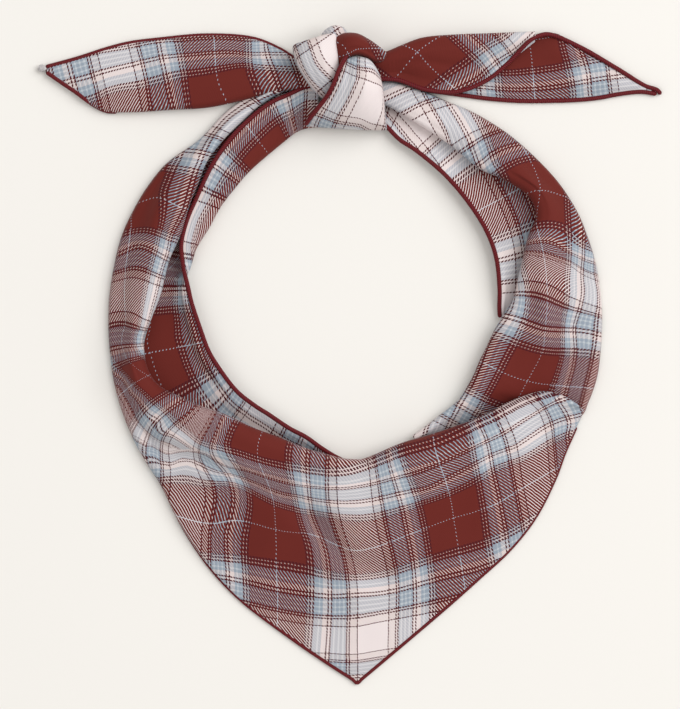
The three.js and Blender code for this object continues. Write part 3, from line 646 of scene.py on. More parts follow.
def fold_section(row, low):
    """Hidden lip, curl round the crest, rise, and the outer edge's round."""
    crest, outer = row["crest"], row["outer"]
    wide = float(np.hypot(*np.subtract(outer, crest)))
    radius = max((row["height"] - low) / 2, LEAST_CURL_MM)
    curl = min(radius, wide * ROUND_SHARE)
    edge_round = min(row["edge"], wide * ROUND_SHARE)
    lip = max(min(row["lip"], wide * LIP_SHARE), curl + LIP_PAST_CURL_MM)
    section = [step_from(crest, outer, lip, low)]
    for turn in np.linspace(270, 90, CURL_POINTS):
        angle = math.radians(turn)
        z = low + radius * (1 + math.sin(angle))
        section.append(step_from(crest, outer, curl * (1 + math.cos(angle)), z))
    top = low + 2 * radius
    for share in np.linspace(RISE_FROM, RISE_TO, RISE_POINTS):
        fall = share * share * (3 - 2 * share)
        z = top + (row["edge"] - top) * fall + row["swell"] * math.sin(math.pi * share)
        distance = curl + (wide - edge_round * RISE_STOPS - curl) * share
        section.append(step_from(crest, outer, distance, max(z, FLOOR_MM)))
    for share, drop in EDGE_ROUND:
        section.append(step_from(crest, outer, wide - edge_round * share, max(row["edge"] * drop, FLOOR_MM)))
    section.append(step_from(crest, outer, wide, FLOOR_MM))
    return section


def flap_section(row):
    """Section of a front layer whose outer edge stays above a layer behind it."""
    section = fold_section(row, FLOOR_MM)
    level = len(EDGE_ROUND) + 1
    edge = row["edge"] + FLAP_LIFT_MM
    return section[:-level] + [(x, y, edge) for x, y, z in section[-level:]]


def border_section(row):
    """Hem, the turned-over part, the fold, then flat to the hidden edge."""
    hem, fold, hidden = row["hem"], row["fold"], row["hidden"]
    high, low = row["hem_height"], row["fold_height"]
    reach = float(np.hypot(*np.subtract(hidden, fold)))
    to_fold = float(np.hypot(*np.subtract(fold, hem)))
    if reach > float(np.hypot(*np.subtract(hidden, hem))) + TURNED_OVER_MM:
        out = [(share, high + rise) for share, rise in TURNED_TOP]
        back = [(0, low), (UNDER_FOLD_MM[0] / reach, UNDER_FOLD_MM[1]), (0.35, FLOOR_MM)]
    else:
        out = [(share, high * part) for share, part in LAID_TOP]
        back = [(0, low), (UNDER_LAID_FOLD[0], low * UNDER_LAID_FOLD[1]), (0.4, FLOOR_MM)]
    back += [(0.7, FLOOR_MM), (1, FLOOR_MM)]
    return ([step_from(hem, fold, to_fold * share, max(z, FLOOR_MM)) for share, z in out]
            + [step_from(fold, hidden, reach * share, max(z, FLOOR_MM)) for share, z in back])


def back_section(row):
    """Section of the right tail's back layer."""
    wide = float(np.hypot(*np.subtract(row["lower"], row["upper"])))
    spots = []
    for share in np.linspace(0, 1, BACK_POINTS):
        z = FLOOR_MM + row["swell"] * math.sin(math.pi * share)
        spots.append(step_from(row["upper"], row["lower"], wide * share, z))
    return spots


def sheet_grid(sections, rows, columns):
    """Dense grid of points over a sheet, never under the floor."""
    along = run_through(sections, rows)
    grid = np.swapaxes(run_through(np.swapaxes(along, 0, 1), columns), 0, 1)
    grid[..., 2] = np.maximum(grid[..., 2], FLOOR_MM)
    return grid


def crease(grid, creases, shown):
    """Lifts and dips the shown part of a grid along its crease lines."""
    points = grid.reshape(-1, 3)
    lift = np.zeros(len(points))
    for row in creases:
        line = run_through(on_plan(row["line"]), CREASE_POINTS)
        apart = np.linalg.norm(points[:, None, :2] - line[None], axis=2)
        nearest = apart.argmin(axis=1)
        ends = np.sin(np.pi * (nearest + 1) / (len(line) + 1)) ** CREASE_END_POWER
        lift += row["lift"] * ends * np.exp(-(apart.min(axis=1) / (row["reach"] * PIXEL_MM)) ** 2)
    out = grid.copy()
    out[..., 2] = np.maximum(out[..., 2] + lift.reshape(grid.shape[:2]) * shown, FLOOR_MM)
    return out


def fade(columns, start, end):
    """Share of each column that is shown: none before start, all between, none after end."""
    place = np.linspace(0, 1, columns)
    return np.clip((place - start) / CREASE_FADE, 0, 1) * np.clip((end - place) / CREASE_FADE, 0, 1)


def creased_grid(sections, rows, columns, creases, start=CREASED_FROM, end=CREASED_TO):
    """Dense grid of points over a sheet, with creases where it shows."""
    return crease(sheet_grid(sections, rows, columns), creases, fade(columns, start, end)[None, :])


def laid_out(grid, top):
    """Plan points of a grid with its steep and turned-under parts laid out from the column at its top."""
    plan = grid[..., :2]
    way = plan[:, round(grid.shape[1] * OUTWARD_COLUMN)] - plan[:, top]
    way = way / np.maximum(np.linalg.norm(way, axis=1, keepdims=True), 1e-6)
    step = np.diff(grid, axis=1)
    length = np.linalg.norm(step, axis=2)
    outward = np.einsum("ijk,ik->ij", step[..., :2], way)
    reach = np.where(outward < 0, length, outward + np.clip(length - STEEP * outward, 0, None))
    along = np.concatenate([np.zeros((len(grid), 1)), np.cumsum(reach, axis=1)], axis=1)
    along -= along[:, top:top + 1]
    seen = np.einsum("ijk,ik->ij", plan - plan[:, top:top + 1], way)
    return (plan + (along - seen)[..., None] * way[:, None]).reshape(-1, 2)


def above_pleat(pleat, seen):
    """Distance of photo points above a pleat's line, in pixels: less than nothing below it."""
    line = run_through(pleat, 400)
    nearest = np.linalg.norm(seen[:, None] - line[None], axis=2).argmin(axis=1)
    way = np.gradient(line, axis=0)[nearest]
    off = seen - line[nearest]
    return (way[:, 1] * off[:, 0] - way[:, 0] * off[:, 1]) / np.linalg.norm(way, axis=1)


def fit_places(seen, places):
    """Function from photo points to places: the smoothest surface through the seen ones."""
    count = len(seen)
    known = seen / FIT_PIXELS
    apart = np.linalg.norm(known[:, None] - known[None], axis=2)
    flat = np.column_stack([np.ones(count), known])
    system = np.zeros((count + 3, count + 3))
    system[:count, :count] = apart ** 2 * np.log(apart + 1e-9) + np.eye(count) * FIT_SOFTNESS
    system[:count, count:] = flat
    system[count:, :count] = flat.T
    weights = np.linalg.solve(system, np.concatenate([places, np.zeros(3)]))

    def places_at(points):
        at = points / FIT_PIXELS
        off = np.linalg.norm(at[:, None] - known[None], axis=2)
        return (off ** 2 * np.log(off + 1e-9)) @ weights[:-3] + weights[-3] + at @ weights[-2:]

    return places_at


def lie_of_plaid(lines_along, lines_across, along_from, across_from, pleat=None, mirrored=False):
    """Function from plan points to places in the plaid, and to the pleat's distance and what it hides."""
    fits = []
    for lines, start in ((lines_along, along_from), (lines_across, across_from)):
        seen = np.array([point for line in lines for point in line["seen"]], dtype=float)
        places = np.array([line["place"] + start for line in lines for _ in line["seen"]], dtype=float)
        if pleat and lines is lines_across:
            height = above_pleat(pleat, seen)
            open_here = np.linalg.norm(seen - pleat[1], axis=1) < PLEAT_OPENS_OVER
            for used in ((height < 0) | open_here, (height > 0) | open_here):
                fits.append(fit_places(seen[used], places[used]))
        else:
            fits.append(fit_places(seen, places))

    def lie(points):
        at = in_photo(points)
        columns = [fit(at) for fit in fits]
        if mirrored:
            columns[0] = 2 * PALE_ALONG - columns[0]
        height = above_pleat(pleat, at) if pleat else np.zeros(len(at))
        hidden = columns[2] - columns[1] if pleat else np.zeros(len(at))
        return np.column_stack([columns[0], columns[1], height, hidden])

    return lie


def lie_of_border(rows, grid, mirrored=False):
    """Places in the plaid over a border: its hem's own, and further in by the distance from the hem."""
    count = len(grid)
    steps = np.linspace(0, len(rows) - 1, count)
    along, across, spread = [np.interp(steps, np.arange(len(rows)), [row[key] for row in rows])
                             for key in ("along", "across", "spread")]
    along = -along if mirrored else along
    level = grid * (1, 1, BORDER_HEIGHT_SHARE)
    step = np.diff(level, axis=1, prepend=level[:, :1])
    reach = np.cumsum(np.linalg.norm(step, axis=2), axis=1) / PIXEL_MM
    across = across[:, None] + reach * spread[:, None] + PALE_ACROSS
    places = np.broadcast_arrays(along[:, None], across, 0.0, 0.0)
    return lambda points: np.stack(places, axis=2).reshape(-1, 4)


def object_of(name, shape):
    """Smooth object of a bmesh, which is used up."""
    for face in shape.faces:
        face.smooth = True
    mesh = bpy.data.meshes.new(name)
    shape.to_mesh(mesh)
    shape.free()
    made = bpy.data.objects.new(name, mesh)
    bpy.context.scene.collection.objects.link(made)
    return made


def grid_object(name, grid, places, closed_round=False):
    """Object of a bmesh grid laid on a grid of points, with the cloth's places and pleat as UV maps."""
    rows, columns = grid.shape[:2]
    shape = bmesh.new()
    bmesh.ops.create_grid(shape, x_segments=columns - 1, y_segments=rows - 1, size=1.0)
    cloth = shape.loops.layers.uv.new("cloth")
    pleat = shape.loops.layers.uv.new("pleat") if places.shape[-1] == 4 else None
    points = in_frame(grid)
    places = places.reshape(rows, columns, -1)
    # A corner's place in the flat square, from -1 to 1, tells its row and column.
    for vert in shape.verts:
        i = round((vert.co.y + 1) / 2 * (rows - 1))
        j = round((vert.co.x + 1) / 2 * (columns - 1))
        for loop in vert.link_loops:
            loop[cloth].uv = places[i, j, :2]
            if pleat:
                loop[pleat].uv = places[i, j, 2:]
        vert.co = points[i, j]
    if closed_round:
        bmesh.ops.remove_doubles(shape, verts=shape.verts, dist=1e-6)
        bmesh.ops.recalc_face_normals(shape, faces=shape.faces)
    return object_of(name, shape)


def place_piece(made, node, material):
    """Gives a piece its material and its place in the frame."""
    made.data.materials.append(material)
    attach(made, "root")
    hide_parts(node)


def cloth_sheet(name, node, grid, lie):
    """One sheet of cloth with its thickness."""
    places = lie(laid_out(grid, round(grid.shape[1] * CREST_COLUMN))) * PIXEL_MM / 1000
    made = grid_object(name, grid, places)
    thick = made.modifiers.new("cloth thickness", "SOLIDIFY")
    thick.thickness = bpy.context.scene.kerchief_sizes.cloth_thickness
    thick.offset = 0.0
    place_piece(made, node, plaid_material())


def turn_grid(rows, pleats, count=64, around=72):
    """Closed turn of cloth lofted through its sections, with soft pleats along it."""
    left = on_plan([r["left"] for r in rows])
    right = on_plan([r["right"] for r in rows])
    heights = np.array([(r["left_z"], r["right_z"], r["crown"], r["under"]) for r in rows], dtype=float)
    shape = run_through(np.hstack([left, right, heights]), count)
    place = np.linspace(0, 1, count)
    close = np.clip(np.minimum(place, 1 - place) / TURN_END_SHARE, 0, 1) ** 0.5
    angles = np.linspace(math.pi, -math.pi, around + 1)
    grid = np.zeros((count, around + 1, 3))
    for j, angle in enumerate(angles):
        share = 0.5 + 0.5 * math.copysign(abs(math.cos(angle)) ** TURN_SIDE_POWER, math.cos(angle))
        rise = abs(math.sin(angle)) ** TURN_RISE_POWER
        side_z = shape[:, 4] + (shape[:, 5] - shape[:, 4]) * share
        end_z = shape[:, 6] if math.sin(angle) > 0 else shape[:, 7]
        middle_z = (shape[:, 4] + shape[:, 5]) / 2
        z = side_z + (end_z - side_z) * rise
        if math.sin(angle) > 0:
            for pleat in pleats:
                off = (share - pleat["share"] - pleat["drift"] * (place - 0.5)) / pleat["width"]
                z = z + pleat["lift"] * np.exp(-off ** 2) * rise * np.sin(math.pi * place) ** 0.5
        plan = shape[:, :2] + (shape[:, 2:4] - shape[:, :2]) * share
        centre = (shape[:, :2] + shape[:, 2:4]) / 2
        grid[:, j, :2] = centre + (plan - centre) * close[:, None]
        grid[:, j, 2] = middle_z + (z - middle_z) * close
    grid[..., 2] = np.maximum(grid[..., 2], KNOT_FLOOR_MM)
    return grid


def knot_turn(name, node, grid, lie):
    """One turn of cloth in the knot, whose top is a quarter of the way round."""
    places = lie(laid_out(grid, grid.shape[1] // 4)) * PIXEL_MM / 1000
    made = grid_object(name, grid, places, closed_round=True)
    place_piece(made, node, plaid_material())


def top_of(grids, plan):
    """Height of the highest turn under each plan point."""
    points = np.concatenate([grid.reshape(-1, 3) for grid in grids])
    under = [np.linalg.norm(points[:, :2] - at, axis=1) < UNDER_HEM_MM for at in plan]
    return np.array([points[near, 2].max() for near in under])


def hem_tube(node, path, radius_mm, thin_over=0.0):
    """Rolled hem along a path of points, closed at both ends and perhaps thin at its start."""
    line = np.asarray(path, dtype=float).copy()
    line[:, 2] = np.maximum(line[:, 2], radius_mm + HEM_OFF_FLOOR_MM)
    way = np.gradient(line, axis=0)
    way /= np.linalg.norm(way, axis=1, keepdims=True)
    side = np.column_stack([way[:, 1], -way[:, 0], np.zeros(len(line))])
    side /= np.linalg.norm(side, axis=1, keepdims=True)
    up = np.cross(side, way)
    length = np.concatenate([[0], np.cumsum(np.linalg.norm(np.diff(line, axis=0), axis=1))])
    from_end = np.minimum(length, length[-1] - length)
    radius = radius_mm * np.sqrt(np.clip(from_end / (radius_mm * HEM_END_ROUND), 0, 1))
    if thin_over:
        radius *= np.clip(HEM_THIN_START + (1 - HEM_THIN_START) * length / thin_over, 0, 1)
    angles = np.linspace(0, 2 * math.pi, HEM_SIDES + 1)
    grid = (line[:, None] + side[:, None] * (np.cos(angles)[None, :, None] * radius[:, None, None])
            + up[:, None] * (np.sin(angles)[None, :, None] * radius[:, None, None]))
    round_hem = angles * radius_mm
    places = np.stack(np.broadcast_arrays(length[:, None], round_hem[None, :]), axis=2) / 1000
    made = grid_object(node + "_thread", grid, places, closed_round=True)
    place_piece(made, node, hem_material())


# Materials

def add_node(tree, kind, inputs=(), output=0, stops=(), **settings):
    """Adds one node with its settings, values, links and colour stops, and returns one of its outputs."""
    made = tree.nodes.new(kind)
    for key, value in settings.items():
        setattr(made, key, value)
    for key, value in dict(inputs).items():
        if isinstance(value, bpy.types.NodeSocket):
            tree.links.new(value, made.inputs[key])
        else:
            made.inputs[key].default_value = value
    if stops:
        made.color_ramp.interpolation = "CONSTANT"
        while len(made.color_ramp.elements) < len(stops):
            made.color_ramp.elements.new(1.0)
        for element, (place, colour) in zip(made.color_ramp.elements, stops):
            element.position = place
            element.color = (*colour, 1)
    return made.outputs[output] if made.outputs else None


def new_material(name):
    """Empty node material."""
    made = bpy.data.materials.new(name)
    made.use_nodes = True
    made.node_tree.nodes.clear()
    return made


def half_sett(colours):
    """Stripes from a pale band's middle to the red band's middle, as shares of the way."""
    rose, milk, blue, dots = colours.rose, colours.milk, colours.blue, colours.dots
    streak, dark, red, thin = colours.streak, colours.dark, colours.red, colours.thin_line
    stripes = ((0, rose), (15.9, dark), (17.2, milk), (23.8, dark), (25.2, milk), (26.4, dark), (27.8, blue),
               (30.0, streak), (31.6, blue), (34.4, streak), (36.0, blue), (38.8, streak), (40.4, blue),
               (42.6, dark), (44.2, milk), (46.0, dark), (47.6, milk), (52.0, blue), (54.4, streak),
               (56.0, blue), (60.6, dark), (62.6, dots), (63.6, dark), (65.7, dots), (66.7, dark),
               (68.6, red), (95.4, thin))
    return [(place / (SETT_REPEAT / 2), colour) for place, colour in stripes]


def plaid_material():
    """Thin twill woven from fine spun yarn: diagonal ribs with painted shade between them, a soft sheen, and
    stripes both ways.
    """
    known = bpy.data.materials.get("woven_twill_plaid")
    if known:
        return known
    scene = bpy.context.scene
    sizes, colours = scene.kerchief_sizes, scene.kerchief_colours
    made = new_material("woven_twill_plaid")
    tree = made.node_tree
    cloth = add_node(tree, "ShaderNodeUVMap", uv_map="cloth")
    slub = add_node(tree, "ShaderNodeTexNoise", {"Vector": cloth, "Scale": 300.0, "Detail": 2.0})
    places = add_node(tree, "ShaderNodeSeparateXYZ", {"Vector": cloth}).node.outputs
    # The second map holds the distance above the pleat and how much of the plaid the pleat hides there.
    pleat = add_node(tree, "ShaderNodeSeparateXYZ", {
        "Vector": add_node(tree, "ShaderNodeUVMap", uv_map="pleat")}).node.outputs
    above = add_node(tree, "ShaderNodeMath", {0: pleat["X"], 1: 0.0}, operation="GREATER_THAN")
    down = add_node(tree, "ShaderNodeMath", {
        0: above, 1: pleat["Y"], 2: places["Y"]}, operation="MULTIPLY_ADD")
    to_sett = SETT_REPEAT / sizes.plaid_repeat
    # Uneven yarn moves the stripes by up to half a pixel.
    drift = add_node(tree, "ShaderNodeMath", {0: slub, 1: 0.9, 2: -0.45}, operation="MULTIPLY_ADD")
    along = add_node(tree, "ShaderNodeMath", {
        0: places["X"], 1: to_sett, 2: drift}, operation="MULTIPLY_ADD")
    across = add_node(tree, "ShaderNodeMath", {0: down, 1: to_sett, 2: drift}, operation="MULTIPLY_ADD")
    yarns = []
    for place, pale_middle in ((along, PALE_ALONG), (across, PALE_ACROSS)):
        moved = add_node(tree, "ShaderNodeMath", {0: place, 1: pale_middle}, operation="SUBTRACT")
        off = add_node(tree, "ShaderNodeMath", {0: moved, 1: SETT_REPEAT / 2}, operation="PINGPONG")
        share = add_node(tree, "ShaderNodeMath", {0: off, 1: SETT_REPEAT / 2}, operation="DIVIDE")
        yarns.append(add_node(tree, "ShaderNodeValToRGB", {"Fac": share}, stops=half_sett(colours)))
    warp, weft = yarns
    # The diagonal ribs are 1.4 mm apart, as coarse as the photograph shows them, and a little steep.
    slope = add_node(tree, "ShaderNodeMath", {0: across, 1: 0.87, 2: along}, operation="MULTIPLY_ADD")
    ribs = add_node(tree, "ShaderNodeMath", {0: slope, 1: sizes.rib_spacing * to_sett}, operation="DIVIDE")
    rib = add_node(tree, "ShaderNodeMath", {0: ribs}, operation="FRACT")
    # The darker yarn lies on top over more of a rib than the paler one.
    tones = [add_node(tree, "ShaderNodeRGBToBW", {"Color": colour}) for colour in yarns]
    paler = add_node(tree, "ShaderNodeMath", {0: tones[0], 1: tones[1]}, operation="SUBTRACT")
    side = add_node(tree, "ShaderNodeMath", {0: paler}, operation="SIGN")
    part = add_node(tree, "ShaderNodeMath", {
        0: side, 1: -sizes.dark_share, 2: 0.5}, operation="MULTIPLY_ADD")
    over = add_node(tree, "ShaderNodeMath", {0: rib, 1: part}, operation="LESS_THAN")
    # Two pale yarns blend into one tone, and ribs show where one of the two is dark.
    darker = add_node(tree, "ShaderNodeMath", {0: tones[0], 1: tones[1]}, operation="MINIMUM")
    clear = add_node(tree, "ShaderNodeMapRange", {
        "Value": darker, "From Min": 0.08, "From Max": 0.25, "To Min": 1.0, "To Max": 0.3})
    swing = add_node(tree, "ShaderNodeMath", {0: over, 1: 0.5}, operation="SUBTRACT")
    mixed = add_node(tree, "ShaderNodeMath", {0: swing, 1: clear, 2: 0.5}, operation="MULTIPLY_ADD")
    yarn = add_node(tree, "ShaderNodeMix", {0: mixed, 6: weft, 7: warp}, output=2, data_type="RGBA")
    # Every rib is painted a little darker where it dips under the next, as painted shade, and a little
    # lighter on its crown, as a painted highlight.
    twice = add_node(tree, "ShaderNodeMath", {0: rib, 1: 2.0}, operation="MULTIPLY")
    bow = add_node(tree, "ShaderNodeMath", {0: twice, 1: 0.5}, operation="PINGPONG")
    rib_painted_shade = add_node(tree, "ShaderNodeMapRange", {
        "Value": bow, "From Max": 0.5, "To Min": 0.88, "To Max": 1.04})
    body = add_node(tree, "ShaderNodeTexCoord", output="Object")
    cloud = add_node(tree, "ShaderNodeTexNoise", {"Vector": body, "Scale": 38.0, "Detail": 3.0})
    wash = add_node(tree, "ShaderNodeMapRange", {"Value": cloud, "To Min": 0.93, "To Max": 1.07})
    # The ribs' painted shade and highlight, times the cloth's uneven tone, set the yarn's brightness.
    value = add_node(tree, "ShaderNodeMath", {0: rib_painted_shade, 1: wash}, operation="MULTIPLY")
    colour = add_node(tree, "ShaderNodeHueSaturation", {"Color": yarn, "Value": value})
    height = add_node(tree, "ShaderNodeMath", {0: slub, 1: 0.5, 2: bow}, operation="MULTIPLY_ADD")
    relief = add_node(tree, "ShaderNodeBump", {"Height": height, "Strength": 0.35, "Distance": 0.00012})
    skin = add_node(tree, "ShaderNodeBsdfPrincipled", {
        "Base Color": colour, "Roughness": 0.66, "IOR": 1.46, "Sheen Weight": 0.06, "Sheen Roughness": 0.45,
        "Specular IOR Level": 0.1, "Normal": relief})
    add_node(tree, "ShaderNodeOutputMaterial", {"Surface": skin})
    return made


def hem_material():
    """Overlocked thread, packed turn beside turn over the rolled edge: ribbed, with painted shade between
    the turns and a soft shine.
    """
    known = bpy.data.materials.get("overlocked_hem_thread")
    if known:
        return known
    colours = bpy.context.scene.kerchief_colours
    made = new_material("overlocked_hem_thread")
    tree = made.node_tree
    turns = add_node(tree, "ShaderNodeUVMap", uv_map="cloth")
    parts = add_node(tree, "ShaderNodeSeparateXYZ", {"Vector": turns}).node.outputs
    # A turn of thread is 0.9 mm, drawn twice as coarse as the real one so that it shows.
    slant = add_node(tree, "ShaderNodeMath", {
        0: parts["Y"], 1: 0.35, 2: parts["X"]}, operation="MULTIPLY_ADD")
    place = add_node(tree, "ShaderNodeMath", {0: slant, 1: 0.0009}, operation="DIVIDE")
    bow = add_node(tree, "ShaderNodeMath", {0: place, 1: 0.5}, operation="PINGPONG")
    share = add_node(tree, "ShaderNodeMapRange", {"Value": bow, "From Max": 0.4, "To Max": 1.0})
    # Painted shade: the groove colour darkens the thread in the hollows between its turns.
    thread_with_painted_shade = add_node(tree, "ShaderNodeMix", {
        0: share, 6: (*colours.hem_groove, 1), 7: (*colours.hem, 1)}, output=2, data_type="RGBA")
    fuzz = add_node(tree, "ShaderNodeTexNoise", {"Vector": turns, "Scale": 900.0, "Detail": 2.0})
    value = add_node(tree, "ShaderNodeMapRange", {"Value": fuzz, "To Min": 0.85, "To Max": 1.15})
    colour = add_node(tree, "ShaderNodeHueSaturation", {"Color": thread_with_painted_shade, "Value": value})
    relief = add_node(tree, "ShaderNodeBump", {"Height": bow, "Strength": 0.7, "Distance": 0.0004})
    skin = add_node(tree, "ShaderNodeBsdfPrincipled", {
        "Base Color": colour, "Roughness": 0.5, "IOR": 1.5, "Sheen Weight": 0.04, "Sheen Roughness": 0.4,
        "Specular IOR Level": 0.15, "Normal": relief})
    add_node(tree, "ShaderNodeOutputMaterial", {"Surface": skin})
    return made


def thread_material():
    """Loose end of pale spun thread: matt and a little hairy."""
    colours = bpy.context.scene.kerchief_colours
    made = new_material("pale_spun_thread")
    tree = made.node_tree
    body = add_node(tree, "ShaderNodeTexCoord", output="Object")
    # A strand is 0.3 mm across.
    strands = add_node(tree, "ShaderNodeTexWave", {
        "Vector": body, "Scale": 500.0, "Distortion": 6.0, "Detail": 2.0}, output="Fac")
    share = add_node(tree, "ShaderNodeMapRange", {"Value": strands, "To Min": 0.72, "To Max": 1.05})
    colour = add_node(tree, "ShaderNodeHueSaturation", {"Color": (*colours.thread, 1), "Value": share})
    relief = add_node(tree, "ShaderNodeBump", {"Height": strands, "Strength": 0.8, "Distance": 0.0003})
    skin = add_node(tree, "ShaderNodeBsdfPrincipled", {
        "Base Color": colour, "Roughness": 0.75, "Sheen Weight": 0.2, "Sheen Roughness": 0.5,
        "Normal": relief})
    add_node(tree, "ShaderNodeOutputMaterial", {"Surface": skin})
    return made


def paper_material():
    """Matt off-white backdrop paper."""
    colours = bpy.context.scene.kerchief_colours
    made = new_material("matt_backdrop_paper")
    tree = made.node_tree
    body = add_node(tree, "ShaderNodeTexCoord", output="Object")
    grain = add_node(tree, "ShaderNodeTexNoise", {"Vector": body, "Scale": 900.0, "Detail": 3.0})
    relief = add_node(tree, "ShaderNodeBump", {"Height": grain, "Strength": 0.05, "Distance": 0.0002})
    skin = add_node(tree, "ShaderNodeBsdfPrincipled", {
        "Base Color": (*colours.paper, 1), "Roughness": 0.9, "Specular IOR Level": 0.2,
        "Normal": relief})
    add_node(tree, "ShaderNodeOutputMaterial", {"Surface": skin})
    return made


# Settings

def length_setting(name, description, metres):
    """Length that the panel shows."""
    return FloatProperty(name=name, description=description, default=metres, unit="LENGTH")


def colour_setting(name, description, hex_colour):
    """Colour that the panel shows."""
    return FloatVectorProperty(
        name=name, description=description, default=linear(hex_colour), subtype="COLOR")


class KerchiefSizes(PropertyGroup):
    """Sizes of the kerchief's cloth and hem."""
    cloth_thickness: length_setting("Cloth thickness", "Thickness of the cloth", 0.0005)
    hem_radius: length_setting("Hem radius", "Half the width of the rolled hem", 0.001)
    plaid_repeat: length_setting("Plaid repeat", "Width of one repeat of the plaid", 0.0864)
    rib_spacing: length_setting("Rib spacing", "Distance between the twill's ribs along a yarn", 0.0014)
    dark_share: FloatProperty(
        name="Dark yarn's share", description="How much more of a rib the darker yarn covers", default=0.22,
        min=0.0, max=0.4, subtype="FACTOR")


class KerchiefColours(PropertyGroup):
    """Colours of the yarns, the hem and the backdrop."""
    rose: colour_setting("Rose grey", "Yarn of the pale bands' middles", "#E2D7D6")
    milk: colour_setting("Milk", "Yarn between the thin lines", "#D4C6C3")
    dots: colour_setting("Dotted line", "Yarn of the thin lines beside the red bands", "#BCA5A1")
    blue: colour_setting("Grey blue", "Yarn of the blue bands", "#8F99A5")
    streak: colour_setting("Blue streak", "Lighter yarn in the blue bands", "#B9BFC4")
    dark: colour_setting("Dark line", "Yarn of the thin dark lines", "#4C181D")
    red: colour_setting("Brick red", "Yarn of the red bands", "#66251F")
    thin_line: colour_setting("Thin pale line", "Yarn in the red bands' middles", "#A9AEBA")
    hem: colour_setting("Hem", "Thread of the hem", "#6C191F")
    hem_groove: colour_setting("Hem groove", "Shade between turns of the hem's thread", "#420E13")
    thread: colour_setting("Pale thread", "Loose thread at the left tail's tip", "#C9C4C4")
    paper: colour_setting("Paper", "Backdrop under the kerchief", "#E5E2DD")


# Grids that a sheet and its hem share

def front_grid():
    """The fold down the left side and over the front point."""
    return creased_grid([fold_section(row, OVER_MM) for row in FRONT_FOLD], 250, 60, FRONT_CREASES)


def side_grid():
    """The top fold down the right side."""
    return creased_grid([fold_section(row, OVER_MM) for row in SIDE_FOLD_RIGHT], 170, 56, SIDE_CREASES)


def border_left_grid():
    """The left border of the neck edge, turned over on top."""
    return sheet_grid([border_section(row) for row in BORDER_LEFT], 190, 30)


def border_right_grid():
    """The right border of the neck edge."""
    return sheet_grid([border_section(row) for row in BORDER_RIGHT], 110, 30)


def tail_left_grid():
    """The left tail, folded along its lower edge."""
    return creased_grid([fold_section(row, FLOOR_MM) for row in TAIL_LEFT], 120, 50, TAIL_LEFT_CREASES)


def flap_grid():
    """The right tail's front layer."""
    return creased_grid([flap_section(row) for row in TAIL_RIGHT_FLAP], 90, 46, FLAP_CREASES, end=0.9)


def back_grid():
    """The right tail's back layer."""
    return creased_grid([back_section(row) for row in TAIL_RIGHT_BACK], 110, 30, BACK_CREASES, 0.05, 0.95)


def knot_grids():
    """The knot's turns: front lobe, left wrap, top lobe and the nub behind them."""
    return (turn_grid(LOBE_FRONT, LOBE_FRONT_PLEATS), turn_grid(WRAP_LEFT, WRAP_PLEATS),
            turn_grid(LOBE_TOP, LOBE_TOP_PLEATS), turn_grid(KNOT_NUB, NUB_PLEATS, 40, 48))


# Operators

class KERCHIEF_OT_front_fold(Operator):
    """Adds the fold that runs down the left side and over the front point"""
    bl_idname = "kerchief.front_fold"
    bl_label = "Front Fold"

    def execute(self, context):
        lie = lie_of_plaid(FRONT_ALONG, FRONT_ACROSS, 0.0, 0.0, FRONT_PLEAT)
        cloth_sheet("front_fold_cloth", "front_fold", front_grid(), lie)
        return {"FINISHED"}


class KERCHIEF_OT_side_fold(Operator):
    """Adds the top fold down the right side"""
    bl_idname = "kerchief.side_fold"
    bl_label = "Right Side Fold"

    def execute(self, context):
        lie = lie_of_plaid(SIDE_ALONG, SIDE_ACROSS, 0.0, PALE_ACROSS, mirrored=True)
        cloth_sheet("side_fold_right_cloth", "side_fold_right", side_grid(), lie)
        return {"FINISHED"}


class KERCHIEF_OT_neck_borders(Operator):
    """Adds the two borders along the neck edge"""
    bl_idname = "kerchief.neck_borders"
    bl_label = "Neck Borders"

    def execute(self, context):
        left = border_left_grid()
        cloth_sheet("neck_border_left_cloth", "neck_border_left", left, lie_of_border(BORDER_LEFT, left))
        right = border_right_grid()
        cloth_sheet("neck_border_right_cloth", "neck_border_right", right,
                    lie_of_border(BORDER_RIGHT, right, mirrored=True))
        return {"FINISHED"}


class KERCHIEF_OT_tails(Operator):
    """Adds the two pointed tails"""
    bl_idname = "kerchief.tails"
    bl_label = "Tails"

    def execute(self, context):
        left = lie_of_plaid(TAIL_LEFT_ALONG, TAIL_LEFT_ACROSS, PALE_ALONG, PALE_ACROSS)
        cloth_sheet("tail_left_cloth", "tail_left", tail_left_grid(), left)
        flap = lie_of_plaid(FLAP_ALONG, FLAP_ACROSS, 0.0, RED_ACROSS)
        cloth_sheet("tail_right_front_cloth", "tail_right", flap_grid(), flap)
        back = lie_of_plaid(BACK_ALONG, BACK_ACROSS, PALE_ALONG, PALE_ACROSS)
        cloth_sheet("tail_right_back_cloth", "tail_right", back_grid(), back)
        return {"FINISHED"}


class KERCHIEF_OT_knot(Operator):
    """Adds the turns of cloth in the knot"""
    bl_idname = "kerchief.knot"
    bl_label = "Knot"

    def execute(self, context):
        front, wrap, top, nub = knot_grids()
        lie = lie_of_plaid(LOBE_FRONT_ALONG, LOBE_FRONT_ACROSS, PALE_ALONG, PALE_ACROSS)
        knot_turn("knot_lobe_front_cloth", "knot_lobe_front", front, lie)
        lie = lie_of_plaid(WRAP_ALONG, WRAP_ACROSS, PALE_ALONG, PALE_ACROSS)
        knot_turn("knot_wrap_left_cloth", "knot_wrap_left", wrap, lie)
        lie = lie_of_plaid(WRAP_ALONG, WRAP_ACROSS, PALE_ALONG + NUB_SHIFT[0], PALE_ACROSS + NUB_SHIFT[1])
        knot_turn("knot_nub_cloth", "knot_lobe_top", nub, lie)
        lie = lie_of_plaid(LOBE_TOP_ALONG, LOBE_TOP_ACROSS, 0.0, RED_ACROSS)
        knot_turn("knot_lobe_top_cloth", "knot_lobe_top", top, lie)
        return {"FINISHED"}


